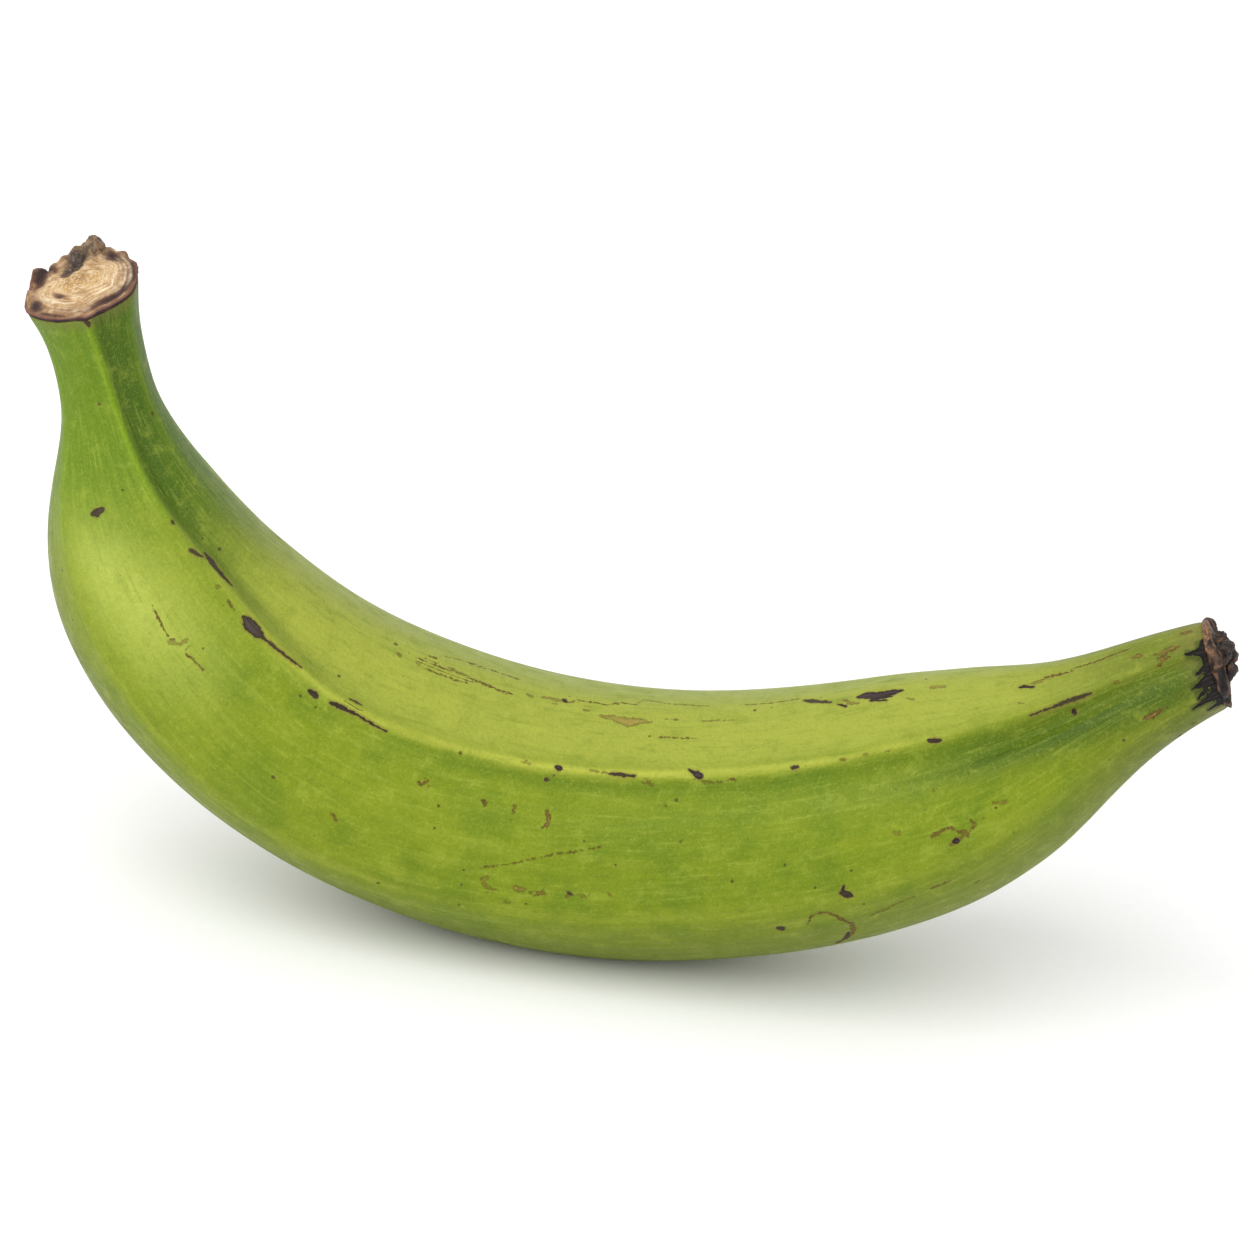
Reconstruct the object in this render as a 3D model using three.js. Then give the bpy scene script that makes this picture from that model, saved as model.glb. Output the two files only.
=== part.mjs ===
// A green cooking plantain, picked and cut from its bunch: one curved fruit that grew in one piece,
// with six long ridges, a fluted neck that flares to the cut stem, and the dried scab of the flower
// at the other end. It stands on the outer curve of its belly.
// Millimetres, +Z up. X runs along the fruit from the stem to the flower end, and the origin is at
// the middle of the small flat spot on which it rests.
import * as THREE from "three";

const rad = THREE.MathUtils.degToRad;

// The whole fruit
const LENGTH = 279.5; // along the curved midline, from the cut stem to the flower end
const HALF_THICKNESS = 26.3; // half the width across the belly
const STEM_TOP = { x: -102.2, z: 117.2 }; // middle of the cut stem
const FLOOR_Z = 0; // the belly is flattened here, about 1 mm deep

// Which way the midline points, as [share of LENGTH, degrees above the horizon]
const HEADING = [
  [0, -70], [0.05, -72.5], [0.1, -73.5], [0.14, -71.5], [0.18, -64.5], [0.22, -53], [0.27, -40.5],
  [0.34, -29], [0.42, -16], [0.5, -7], [0.6, 6.5], [0.7, 17.5], [0.8, 28.4], [0.87, 36.8], [0.93, 39],
  [1, 30],
];

// Half the width of the fruit, as [share of LENGTH, share of HALF_THICKNESS]
const WIDTH = [
  [0, 0.405], [0.025, 0.34], [0.05, 0.32], [0.08, 0.34], [0.105, 0.415], [0.13, 0.52], [0.157, 0.635],
  [0.184, 0.73], [0.21, 0.795], [0.26, 0.875], [0.34, 0.94], [0.42, 0.98], [0.52, 0.995], [0.6, 0.985],
  [0.67, 0.96], [0.745, 0.92], [0.796, 0.86], [0.847, 0.73], [0.873, 0.63], [0.898, 0.53],
  [0.924, 0.45], [0.95, 0.395], [1, 0.315],
];

// The ridges, in order round the fruit. An angle is 0 on the front side (-Y) and 90 on the inner
// curve. Each angle, and each rise in millimetres, is at one of the stations below. reach is how
// far a ridge's flanks spread and crest the rounding of its top, both in degrees.
const RIDGE_STATIONS = [0.02, 0.1, 0.2, 0.35, 0.6, 0.9]; // shares of LENGTH
const RIDGES = {
  front: { reach: 11, crest: 2, angle: [10, 22, 41, 38, 46, 48], rise: [1.5, 1.8, 2.3, 2.3, 2.1, 1.5] },
  inner: { reach: 16, crest: 6, angle: [62, 68, 75, 81, 84, 92], rise: [1.1, 1.1, 0.8, 0.7, 0.7, 0.7] },
  back: { reach: 16, crest: 4, angle: [120, 124, 128, 132, 136, 140], rise: [1.4, 1.7, 2, 2.1, 1.9, 1.4] },
  low: { reach: 18, crest: 7, angle: [178, 184, 194, 202, 204, 200], rise: [1.2, 1.4, 1.6, 1.6, 1.5, 1.1] },
  keel: { reach: 22, crest: 10, angle: [238, 246, 262, 268, 272, 268], rise: [1.2, 1.2, 0.8, 0.7, 0.8, 0.8] },
  belly: { reach: 18, crest: 6, angle: [296, 308, 328, 328, 345, 348], rise: [1.2, 1.5, 1.7, 1.7, 1.7, 1.2] },
};
const RIDGE_FOOT = 0.07; // the skin between ridges sinks by this share of each ridge's rise

// Hollows beside the front ridge: above it near the stem, below it from the belly on
const HOLLOWS = [
  { offset: 14, spread: 8, depth: [[0, 0.6], [0.1, 1.1], [0.2, 1.6], [0.32, 1], [0.45, 0.1], [1, 0]] },
  { offset: -13, spread: 8, depth: [[0, 0.4], [0.2, 0], [0.5, 0.5], [0.8, 1.2], [0.88, 1.9], [1, 0.8]] },
];

// How the surface is divided
const STEPS_PER_RIDGE = 8;
const STATIONS = 72;
const CROWDING = 0.55; // how closely rings crowd at the two ends, and points at each ridge

// The cut stem: a domed corky face, oblique to the stem, with a torn lip of knobs at its back.
// A ring is [share of the rim, mm above it]; a knob's reach is a share of the rim too.
const CUT_SLANT = Math.tan(rad(13)); // the face turns this much towards the front
const CUT_RINGS = [[0.97, 0.7], [0.86, 1.3], [0.68, 1.6], [0.46, 2], [0.22, 2.2]];
const CUT_KNOBS = [
  { angle: 174, reach: 0.86, size: 2, height: 3.8 },
  { angle: 206, reach: 0.86, size: 2.3, height: 2.6 },
  { angle: 236, reach: 0.92, size: 2, height: 1.2 },
  { angle: 145, reach: 0.85, size: 3, height: 0.6 },
  { angle: 205, reach: 0.42, size: 2.8, height: -1.6 },
];

// The dried flower scab: a crumpled collar wider than the skin, closed by a lumpy face with a stub.
// A ring is [share of the last ring of skin, mm beyond it].
const SCAB_RINGS = [[1.02, 0.6], [1.04, 1.4], [0.9, 2.1], [0.66, 2.3], [0.36, 2.1]];
const SCAB_KNOBS = [
  { angle: 100, reach: 0.2, size: 2, height: 2.4 },
  { angle: 60, reach: 0.75, size: 2.2, height: 0.8 },
  { angle: 230, reach: 0.6, size: 2, height: 0.5 },
  { angle: 290, reach: 0.5, size: 2.6, height: -0.5 },
];

// A smooth curve through [x, y] pairs, level at neither end
function through(pairs, x) {
  const last = pairs.length - 1;
  let i = 0;
  while (i < last - 1 && x > pairs[i + 1][0]) i++;
  const slope = (k) => {
    const a = pairs[Math.max(k - 1, 0)];
    const b = pairs[Math.min(k + 1, last)];
    return (b[1] - a[1]) / (b[0] - a[0]);
  };
  const [x0, y0] = pairs[i];
  const [x1, y1] = pairs[i + 1];
  const w = x1 - x0;
  const t = THREE.MathUtils.clamp((x - x0) / w, 0, 1);
  const t2 = t * t;
  const t3 = t2 * t;
  return (2 * t3 - 3 * t2 + 1) * y0 + (t3 - 2 * t2 + t) * w * slope(i) +
    (3 * t2 - 2 * t3) * y1 + (t3 - t2) * w * slope(i + 1);
}

const alongRidge = (values, s) => through(RIDGE_STATIONS.map((at, k) => [at, values[k]]),
  THREE.MathUtils.clamp(s, RIDGE_STATIONS[0], RIDGE_STATIONS.at(-1)));

// Crowds evenly spaced t from 0 to 1 towards both ends
const crowded = (t) => t - CROWDING * Math.sin(2 * Math.PI * t) / (2 * Math.PI);

// The midline, found by walking from the stem along the heading
function midline() {
  const steps = 600;
  const points = [{ x: STEM_TOP.x, z: STEM_TOP.z }];
  for (let i = 0; i < steps; i++) {
    const heading = rad(through(HEADING, (i + 0.5) / steps));
    const { x, z } = points[i];
    points.push({
      x: x + Math.cos(heading) * LENGTH / steps,
      z: z + Math.sin(heading) * LENGTH / steps,
    });
  }
  return (s) => {
    const at = Math.min(s * steps, steps - 1e-6);
    const i = Math.floor(at);
    const a = points[i];
    const b = points[i + 1];
    return new THREE.Vector3(a.x + (b.x - a.x) * (at - i), 0, a.z + (b.z - a.z) * (at - i));
  };
}

// The frame of a cross-section: its middle, the way along the fruit, the inner side and the front
const middleAt = midline();
function sectionAt(s) {
  const heading = rad(through(HEADING, s));
  return {
    middle: middleAt(s),
    along: new THREE.Vector3(Math.cos(heading), 0, Math.sin(heading)),
    inner: new THREE.Vector3(-Math.sin(heading), 0, Math.cos(heading)),
    front: new THREE.Vector3(0, -1, 0),
  };
}

// How much of a ridge or hollow is left at an angle from its line: 1 on it, fading on both sides
function flank(degrees, reach, crest) {
  const away = Math.abs(THREE.MathUtils.euclideanModulo(degrees + 180, 360) - 180);
  return Math.exp(-(Math.hypot(away, crest) - crest) / reach);
}

// Distance from the midline to the skin
function skinRadius(s, degrees) {
  let r = HALF_THICKNESS * through(WIDTH, s);
  const slim = Math.min(1, r / (0.6 * HALF_THICKNESS)); // ridges keep in scale on the slim ends
  for (const ridge of Object.values(RIDGES)) {
    const from = degrees - alongRidge(ridge.angle, s);
    r += alongRidge(ridge.rise, s) * slim * (flank(from, ridge.reach, ridge.crest) - RIDGE_FOOT);
  }
  const frontLine = alongRidge(RIDGES.front.angle, s);
  for (const hollow of HOLLOWS) {
    const from = degrees - frontLine - hollow.offset;
    r -= through(hollow.depth, s) * slim * Math.exp(-((from / hollow.spread) ** 2));
  }
  return r;
}

// The angles of one ring's points, which follow the ridges
function ringAngles(s) {
  const lines = Object.values(RIDGES).map((ridge) => alongRidge(ridge.angle, s));
  return lines.flatMap((from, i) => {
    const to = i + 1 < lines.length ? lines[i + 1] : lines[0] + 360;
    const steps = Array.from({ length: STEPS_PER_RIDGE }, (_, k) => crowded(k / STEPS_PER_RIDGE));
    return steps.map((share) => from + (to - from) * share);
  });
}

// A point of a section, at an angle and a distance from its middle, pushed along the fruit
function pointOf(section, degrees, radius, push) {
  return section.middle.clone()
    .addScaledVector(section.front, radius * Math.cos(rad(degrees)))
    .addScaledVector(section.inner, radius * Math.sin(rad(degrees)))
    .addScaledVector(section.along, push);
}

// Height of the knobs at a place on an end face
function knobHeight(knobs, degrees, radius, rim) {
  const x = radius * Math.cos(rad(degrees));
  const y = radius * Math.sin(rad(degrees));
  return knobs.reduce((sum, knob) => {
    const kx = knob.reach * rim * Math.cos(rad(knob.angle));
    const ky = knob.reach * rim * Math.sin(rad(knob.angle));
    return sum + knob.height * Math.exp(-((x - kx) ** 2 + (y - ky) ** 2) / knob.size ** 2);
  }, 0);
}

// The rings that close the stem, from the middle of the cut face outwards, ending at the rim
function cutFaceRings() {
  const section = sectionAt(0);
  const angles = ringAngles(0);
  const slant = (degrees, radius) => CUT_SLANT * radius * Math.cos(rad(degrees));
  return [...CUT_RINGS].reverse().map(([share, lift]) => angles.map((degrees) => {
    const rim = skinRadius(0, degrees);
    const radius = rim * share;
    const up = lift + knobHeight(CUT_KNOBS, degrees, radius, rim);
    return pointOf(section, degrees, radius, slant(degrees, radius) - up);
  }));
}

// The skin's own rings, from the rim of the cut stem to the flower end
function skinRings() {
  const slantFades = 0.05; // the slant of the cut is gone this share of LENGTH from the rim
  return Array.from({ length: STATIONS + 1 }, (_, k) => {
    const s = crowded(k / STATIONS);
    const section = sectionAt(s);
    const left = Math.max(0, 1 - s / slantFades);
    return ringAngles(s).map((degrees) => {
      const radius = skinRadius(s, degrees);
      return pointOf(section, degrees, radius, left * CUT_SLANT * radius * Math.cos(rad(degrees)));
    });
  });
}

// The rings of the flower scab, from the skin outwards and in to its middle
function scabRings() {
  const section = sectionAt(1);
  const angles = ringAngles(1);
  return SCAB_RINGS.map(([share, beyond], k) => angles.map((degrees) => {
    const rim = skinRadius(1, degrees);
    const crumple = k < 2 ? 0.35 * Math.sin(rad(5 * degrees)) + 0.25 * Math.sin(rad(9 * degrees + 40)) : 0;
    const radius = rim * share + crumple;
    return pointOf(section, degrees, radius, beyond + knobHeight(SCAB_KNOBS, degrees, radius, rim));
  }));
}

// One closed skin over all the rings, with a point at each end
function plantainGeometry() {
  const rings = [...cutFaceRings(), ...skinRings(), ...scabRings()];
  const around = rings[0].length;
  const average = (ring) => ring.reduce((sum, p) => sum.add(p), new THREE.Vector3()).divideScalar(around);
  const points = [average(rings[0]), ...rings.flat(), average(rings.at(-1))];
  for (const point of points) point.z = Math.max(point.z, FLOOR_Z);
  const last = points.length - 1;
  const at = (ring, k) => 1 + ring * around + (k % around);
  const faces = [];
  for (let k = 0; k < around; k++) {
    faces.push(0, at(0, k), at(0, k + 1));
    faces.push(last, at(rings.length - 1, k + 1), at(rings.length - 1, k));
    for (let ring = 0; ring + 1 < rings.length; ring++) {
      const a = at(ring, k);
      const b = at(ring, k + 1);
      const c = at(ring + 1, k + 1);
      const d = at(ring + 1, k);
      faces.push(a, d, b, b, d, c);
    }
  }
  const geometry = new THREE.BufferGeometry().setFromPoints(points);
  geometry.setIndex(faces);
  geometry.computeVertexNormals();
  return geometry;
}

const peel = new THREE.MeshStandardMaterial({ color: 0x8fae32, roughness: 0.5, metalness: 0 });

const plantain = new THREE.Mesh(plantainGeometry(), peel);
plantain.name = "plantain";

const model = new THREE.Group();
model.add(plantain);

export default model;
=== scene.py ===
# %% [markdown]
# Dressing a green plantain
#
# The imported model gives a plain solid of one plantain: a curved fruit with six ridges, a cut stem
# at one end and the dried scab of its flower at the other. This lesson makes the skin that the eye
# sees. It draws the fruit out along its own midline, presses the ridges and grooves in, marks the
# peel with the scars of growing and carrying, and finishes the two ends as separate rough pieces.
# The fixed frame is loaded first, and its box is kept, because nothing may stand outside it.

# %% Load the frame
import math
import random

import bpy
import numpy as np
from mathutils import Matrix, Vector, noise


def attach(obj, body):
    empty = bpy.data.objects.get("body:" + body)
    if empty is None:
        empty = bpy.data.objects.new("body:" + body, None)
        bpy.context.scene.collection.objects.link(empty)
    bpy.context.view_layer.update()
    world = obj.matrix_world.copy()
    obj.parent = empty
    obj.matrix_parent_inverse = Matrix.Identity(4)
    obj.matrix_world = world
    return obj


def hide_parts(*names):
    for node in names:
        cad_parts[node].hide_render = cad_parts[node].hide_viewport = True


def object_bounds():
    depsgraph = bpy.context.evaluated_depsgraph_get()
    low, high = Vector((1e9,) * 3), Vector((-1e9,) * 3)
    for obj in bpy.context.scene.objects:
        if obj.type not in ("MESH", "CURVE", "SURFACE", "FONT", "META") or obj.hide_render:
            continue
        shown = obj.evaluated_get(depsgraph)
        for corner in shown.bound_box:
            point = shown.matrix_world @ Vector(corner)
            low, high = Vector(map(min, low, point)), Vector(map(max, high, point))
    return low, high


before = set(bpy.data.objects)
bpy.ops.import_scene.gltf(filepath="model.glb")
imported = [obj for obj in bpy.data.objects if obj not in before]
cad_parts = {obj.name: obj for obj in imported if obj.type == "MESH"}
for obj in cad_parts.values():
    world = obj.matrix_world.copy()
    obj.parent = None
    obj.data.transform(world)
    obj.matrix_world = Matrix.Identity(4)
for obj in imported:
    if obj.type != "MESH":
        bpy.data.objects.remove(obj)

cad_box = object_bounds()
print("solid's box, mm:", [[round(1000 * c, 1) for c in corner] for corner in cad_box])

# %% [markdown]
# Photographing the fruit
#
# The camera looks down by 24 degrees from the side that shows the front ridge, from just over a
# metre away. It is rolled a little, because the fruit stands in balance on its belly while the
# photographed one leans towards its flower end. The lens is worked out from one measure: how many
# of the picture's 1254 pixels a millimetre of fruit takes. The same numbers later turn a place in
# the picture into a place on the peel, so they are kept by name.

# %% Camera
MM = 0.001
PICTURE_SIZE = 1254
PIXELS_PER_MM = 5.36
CAMERA_HEIGHT_ANGLE = math.radians(24)
CAMERA_ROLL = math.radians(8)
CAMERA_DISTANCE = 1100 * MM
CAMERA_TARGET = Vector((5, 0, 65.7)) * MM
CAMERA_SEES_TO = 50
SENSOR = 36

look = Vector((0, math.cos(CAMERA_HEIGHT_ANGLE), -math.sin(CAMERA_HEIGHT_ANGLE)))
level_up = Vector((0, math.sin(CAMERA_HEIGHT_ANGLE), math.cos(CAMERA_HEIGHT_ANGLE)))
picture_right = Vector((1, 0, 0)) * math.cos(CAMERA_ROLL) + level_up * math.sin(CAMERA_ROLL)
picture_up = level_up * math.cos(CAMERA_ROLL) - Vector((1, 0, 0)) * math.sin(CAMERA_ROLL)
eye = CAMERA_TARGET - look * CAMERA_DISTANCE

camera_data = bpy.data.cameras.new("photo_camera")
camera_data.sensor_width = SENSOR
camera_data.lens = SENSOR * CAMERA_DISTANCE / (PICTURE_SIZE / PIXELS_PER_MM * MM)
camera_data.clip_end = CAMERA_SEES_TO
camera = bpy.data.objects.new("photo_camera", camera_data)
bpy.context.scene.collection.objects.link(camera)
facing = Matrix((picture_right, picture_up, -look)).transposed().to_4x4()
camera.matrix_world = Matrix.Translation(eye) @ facing
bpy.context.scene.camera = camera
print("lens:", round(camera_data.lens, 1), "mm")


def seen_at(points):
    """Where points (in metres) fall in the picture, in its pixels."""
    away = points - np.array(eye)
    depth = away @ np.array(look)
    scale = camera_data.lens / SENSOR * PICTURE_SIZE / depth
    across = PICTURE_SIZE / 2 + away @ np.array(picture_right) * scale
    down = PICTURE_SIZE / 2 - away @ np.array(picture_up) * scale
    return np.stack([across, down], 1)


# %% [markdown]
# The shape of a plantain
#
# A plantain is a tube with changing width, drawn along a curved midline. Three short tables hold
# it: which way the midline points, how wide the fruit is, and where each ridge runs. They are the
# numbers that the solid was made from, in millimetres, with places given as shares of the length
# from the cut stem (0) to the flower end (1). A smooth curve through each table does the rest.

# %% Driving dimensions
LENGTH = 279.5
HALF_THICKNESS = 26.3
STEM_TOP = (-102.2, 117.2)
# Share of the length, and degrees that the midline rises
HEADING = [
    (0, -70), (0.05, -72.5), (0.1, -73.5), (0.14, -71.5), (0.18, -64.5), (0.22, -53), (0.27, -40.5),
    (0.34, -29), (0.42, -16), (0.5, -7), (0.6, 6.5), (0.7, 17.5), (0.8, 28.4), (0.87, 36.8), (0.93, 39),
    (1, 30),
]
# Share of the length, and share of HALF_THICKNESS
WIDTH = [
    (0, 0.405), (0.025, 0.34), (0.05, 0.32), (0.08, 0.34), (0.105, 0.415), (0.13, 0.52), (0.157, 0.635),
    (0.184, 0.73), (0.21, 0.795), (0.26, 0.875), (0.34, 0.94), (0.42, 0.98), (0.52, 0.995), (0.6, 0.985),
    (0.67, 0.96), (0.745, 0.92), (0.796, 0.86), (0.847, 0.73), (0.873, 0.63), (0.898, 0.53),
    (0.924, 0.45), (0.95, 0.395), (1, 0.315),
]
# How many degrees the flanks reach and the crest is wide, then, at each station, how many degrees
# round the fruit the ridge runs and by how many mm it rises
RIDGE_STATIONS = [0.02, 0.1, 0.2, 0.35, 0.6, 0.9]
RIDGE_TABLE = {
    "front": (11, 2, [10, 22, 41, 38, 46, 48], [1.5, 1.8, 2.3, 2.3, 2.1, 1.5]),
    "inner": (16, 6, [62, 68, 75, 81, 84, 92], [1.1, 1.1, 0.8, 0.7, 0.7, 0.7]),
    "back": (16, 4, [120, 124, 128, 132, 136, 140], [1.4, 1.7, 2, 2.1, 1.9, 1.4]),
    "low": (18, 7, [178, 184, 194, 202, 204, 200], [1.2, 1.4, 1.6, 1.6, 1.5, 1.1]),
    "keel": (22, 10, [238, 246, 262, 268, 272, 268], [1.2, 1.2, 0.8, 0.7, 0.8, 0.8]),
    "belly": (18, 6, [296, 308, 328, 328, 345, 348], [1.2, 1.5, 1.7, 1.7, 1.7, 1.2]),
}
RIDGES = {name: dict(zip(("reach", "crest", "angle", "rise"), row)) for name, row in RIDGE_TABLE.items()}
RIDGE_FOOT = 0.07
# Degrees from the front ridge, and depth in mm along the fruit
HOLLOWS = [
    dict(offset=14, spread=8, depth=[(0, 0.6), (0.1, 1.1), (0.2, 1.6), (0.32, 1), (0.45, 0.1), (1, 0)]),
    dict(offset=-13, spread=8, depth=[(0, 0.4), (0.2, 0), (0.5, 0.5), (0.8, 1.2), (0.88, 1.9), (1, 0.8)]),
]
# The cut leans, the scab leans a little, and both lean less and less away from the ends
CUT_SLANT = math.tan(math.radians(11))
CUT_LIFT = 0.45
SCAB_LIFT, SCAB_TILT, SCAB_FADES = 0.65, 0.065, 0.05
SLANT_FADES = 0.05
print("fruit:", LENGTH, "mm along its midline,", len(RIDGES), "ridges")


# %% Curves through the tables
def through(pairs, x):
    """A smooth curve through (x, y) pairs."""
    known, values = np.array(pairs, float).T
    x = np.atleast_1d(np.asarray(x, float))
    last = len(known) - 1
    i = np.clip(np.searchsorted(known, x, side="right") - 1, 0, last - 1)

    def slope(k):
        before, after = np.maximum(k - 1, 0), np.minimum(k + 1, last)
        return (values[after] - values[before]) / (known[after] - known[before])

    width = known[i + 1] - known[i]
    t = np.clip((x - known[i]) / width, 0, 1)
    rise = 3 * t**2 - 2 * t**3
    bend = (t**3 - 2 * t**2 + t) * slope(i) + (t**3 - t**2) * slope(i + 1)
    return values[i] + rise * (values[i + 1] - values[i]) + bend * width


def along_ridge(values, s):
    """A ridge's angle or rise at the shares s of the length."""
    return through(list(zip(RIDGE_STATIONS, values)), np.clip(s, RIDGE_STATIONS[0], RIDGE_STATIONS[-1]))


print("thickest, mm:", round(2 * HALF_THICKNESS * float(through(WIDTH, 0.52)[0]), 1))

# %% Midline
WALK_STEPS = 1200
walk_shares = (np.arange(WALK_STEPS) + 0.5) / WALK_STEPS
walk_heading = np.radians(through(HEADING, walk_shares))
shares = np.linspace(0, 1, WALK_STEPS + 1)
midline_x = STEM_TOP[0] + np.append(0, np.cumsum(np.cos(walk_heading))) * LENGTH / WALK_STEPS
midline_z = STEM_TOP[1] + np.append(0, np.cumsum(np.sin(walk_heading))) * LENGTH / WALK_STEPS
walked = np.hypot(np.diff(midline_x), np.diff(midline_z)).sum()
print("midline:", round(walked, 1), "mm, from", (midline_x[0], midline_z[0]),
      "to", (round(midline_x[-1], 1), round(midline_z[-1], 1)))

# %% Cross-sections
AT_ONCE = 4000


def section(s):
    """Middle, forward, inner and front directions of the cross-sections at shares s, in mm."""
    s = np.atleast_1d(s)
    heading = np.radians(through(HEADING, s))
    flat = np.zeros_like(s)
    middle = np.stack([np.interp(s, shares, midline_x), flat, np.interp(s, shares, midline_z)], 1)
    forward = np.stack([np.cos(heading), flat, np.sin(heading)], 1)
    inner = np.stack([-np.sin(heading), flat, np.cos(heading)], 1)
    return middle, forward, inner, np.array([0, -1, 0])


def fruit_places(points):
    """For points in mm: share of the length, angle in degrees and distance from the midline."""
    line = np.stack([midline_x, midline_z], 1)
    nearest = np.empty(len(points), int)
    for first in range(0, len(points), AT_ONCE):
        part = points[first:first + AT_ONCE, None, [0, 2]]
        nearest[first:first + AT_ONCE] = ((part - line) ** 2).sum(2).argmin(1)
    s = shares[nearest]
    middle, forward, inner, front = section(s)
    s = np.clip(s + ((points - middle) * forward).sum(1) / LENGTH, 0, 1)
    middle, forward, inner, front = section(s)
    to_inner = ((points - middle) * inner).sum(1)
    to_front = (points - middle) @ front
    return s, np.degrees(np.arctan2(to_inner, to_front)), np.hypot(to_inner, to_front)


print("forward at the cut:", section(0.0)[1][0].round(2), "and at the flower:", section(1.0)[1][0].round(2))

# %% [markdown]
# Ridges
#
# A plantain keeps the corners of the flower that it grew from, so it never gets round: five or six
# ridges run its length. A ridge falls away on both flanks like a tent cloth from its pole, with a
# narrow rounded crest. Beside the front ridge the skin is hollow. A formula suits this better than
# pushing points by hand, because every ridge drifts round the fruit on its way.

# %% Skin formula
SLIM_SHARE = 0.6


def turned(degrees):
    """Angles brought to between -180 and 180 degrees."""
    return (degrees + 180) % 360 - 180


def bell(x):
    """1 at nought, fading softly on both sides."""
    return np.exp(-(x**2))


def ramp(x, low, high):
    """0 up to low, 1 from high on, and evenly between. High may be the smaller one."""
    return np.clip((x - low) / (high - low), 0, 1)


def flank(degrees, reach, crest):
    """1 on a ridge's crest, fading on both sides."""
    return np.exp((crest - np.hypot(turned(degrees), crest)) / reach)


def skin_radius(s, degrees):
    """Distance from the midline to the skin, in mm. Ridges are lower where the fruit is slim."""
    r = HALF_THICKNESS * through(WIDTH, s)
    slim = np.minimum(1, r / (SLIM_SHARE * HALF_THICKNESS))
    for ridge in RIDGES.values():
        away = degrees - along_ridge(ridge["angle"], s)
        tent = flank(away, ridge["reach"], ridge["crest"]) - RIDGE_FOOT
        r = r + along_ridge(ridge["rise"], s) * slim * tent
    for hollow in HOLLOWS:
        away = turned(degrees - along_ridge(RIDGES["front"]["angle"], s) - hollow["offset"])
        r = r - through(hollow["depth"], s) * slim * bell(away / hollow["spread"])
    return r


half_way = np.array([0.5])
front_ridge = skin_radius(half_way, along_ridge(RIDGES["front"]["angle"], half_way))
print("front ridge half way:", round(float(front_ridge[0]), 1), "mm from the midline")

# %% [markdown]
# Drawing out the peel
#
# The peel could be carved from a block or pulled from a sphere, but a tube that is extruded ring
# by ring along the midline gives evenly running quads, which the ridges need. So a circle is laid
# at the cut stem, and in edit mode it is extruded, turned and resized once for each station. The
# circle's points stand closer together on the photographed side, where the marks are small. Then
# both ends are closed, a subdivision smooths the tube, and the ridges are pressed in.

# %% Stations along the midline
def ring_width(s):
    """Half the width of the fruit at s, in mm, without its ridges."""
    return HALF_THICKNESS * float(through(WIDTH, s)[0])


def first_heading(s):
    """How steeply the midline rises at s."""
    return math.radians(float(through(HEADING, s)[0]))


def point_at(s):
    """The midline's point at s, in metres."""
    return Vector(section(float(s))[0][0]) * MM


print("half widths at the cut and at the flower, mm:", round(ring_width(0), 1), round(ring_width(1), 1))

# %% Rings
CAP_SINK = 1.2
CAP_SHARE = 0.8


def deselect():
    bpy.ops.object.select_all(action="DESELECT")


def make_active(piece):
    """Selects one piece alone."""
    deselect()
    piece.select_set(True)
    bpy.context.view_layer.objects.active = piece


def start_ring(radius, s, columns):
    """A circle of points square to the midline at s."""
    deselect()
    bpy.ops.mesh.primitive_circle_add(vertices=columns, radius=radius * MM, fill_type="NOTHING",
                                      location=point_at(s), rotation=(0, math.pi / 2 - first_heading(s), 0))
    bpy.ops.object.transform_apply(location=True, rotation=True, scale=True)
    return bpy.context.object


def next_ring(s_from, s_to, grow):
    """Extrudes the selected ring from one station to the next."""
    step = point_at(s_to) - point_at(s_from)
    bpy.ops.mesh.extrude_region_move(TRANSFORM_OT_translate={"value": step})
    turn = first_heading(s_to) - first_heading(s_from)
    bpy.ops.transform.rotate(value=turn, orient_axis="Y", center_override=point_at(s_to))
    bpy.ops.transform.resize(value=(grow, grow, grow), center_override=point_at(s_to))


def close_end(s, inwards):
    """Turns the selected ring inwards and fills it, a little below the rim."""
    bpy.ops.mesh.extrude_region_move(TRANSFORM_OT_translate={"value": inwards * CAP_SINK * MM})
    centre = point_at(s) + inwards * CAP_SINK * MM
    bpy.ops.transform.resize(value=[CAP_SHARE] * 3, center_override=centre)
    bpy.ops.mesh.edge_face_add()


# %% First ring
COLUMNS = 64
FRONT_CROWDING = 0.5
FRONT_CENTRE = math.radians(25)

peel = start_ring(ring_width(0), 0, COLUMNS)
peel.name = "peel"
centre = point_at(0)
_, _, inner, front = section(0.0)
inner, front = Vector(inner[0]), Vector(front)
for vertex in peel.data.vertices:
    around = vertex.co - centre
    angle = math.atan2(around.dot(inner), around.dot(front))
    angle -= FRONT_CROWDING * math.sin(angle - FRONT_CENTRE)
    vertex.co = centre + (front * math.cos(angle) + inner * math.sin(angle)) * around.length
print("first ring:", len(peel.data.vertices), "points")

# %% Extrude the tube
STATIONS = 84
END_CROWDING = 0.45


def crowded(t):
    """Crowds evenly spaced t towards 0 and 1."""
    return t - END_CROWDING * math.sin(2 * math.pi * t) / (2 * math.pi)


bpy.ops.object.mode_set(mode="EDIT")
bpy.ops.mesh.select_all(action="SELECT")
stations = [crowded(k / STATIONS) for k in range(STATIONS + 1)]
for before, after in zip(stations, stations[1:]):
    next_ring(before, after, ring_width(after) / ring_width(before))
close_end(1, Vector(section(1.0)[1][0]) * -1)
bpy.ops.object.mode_set(mode="OBJECT")
print("peel tube, open at the stem:", len(peel.data.polygons), "faces")

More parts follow.
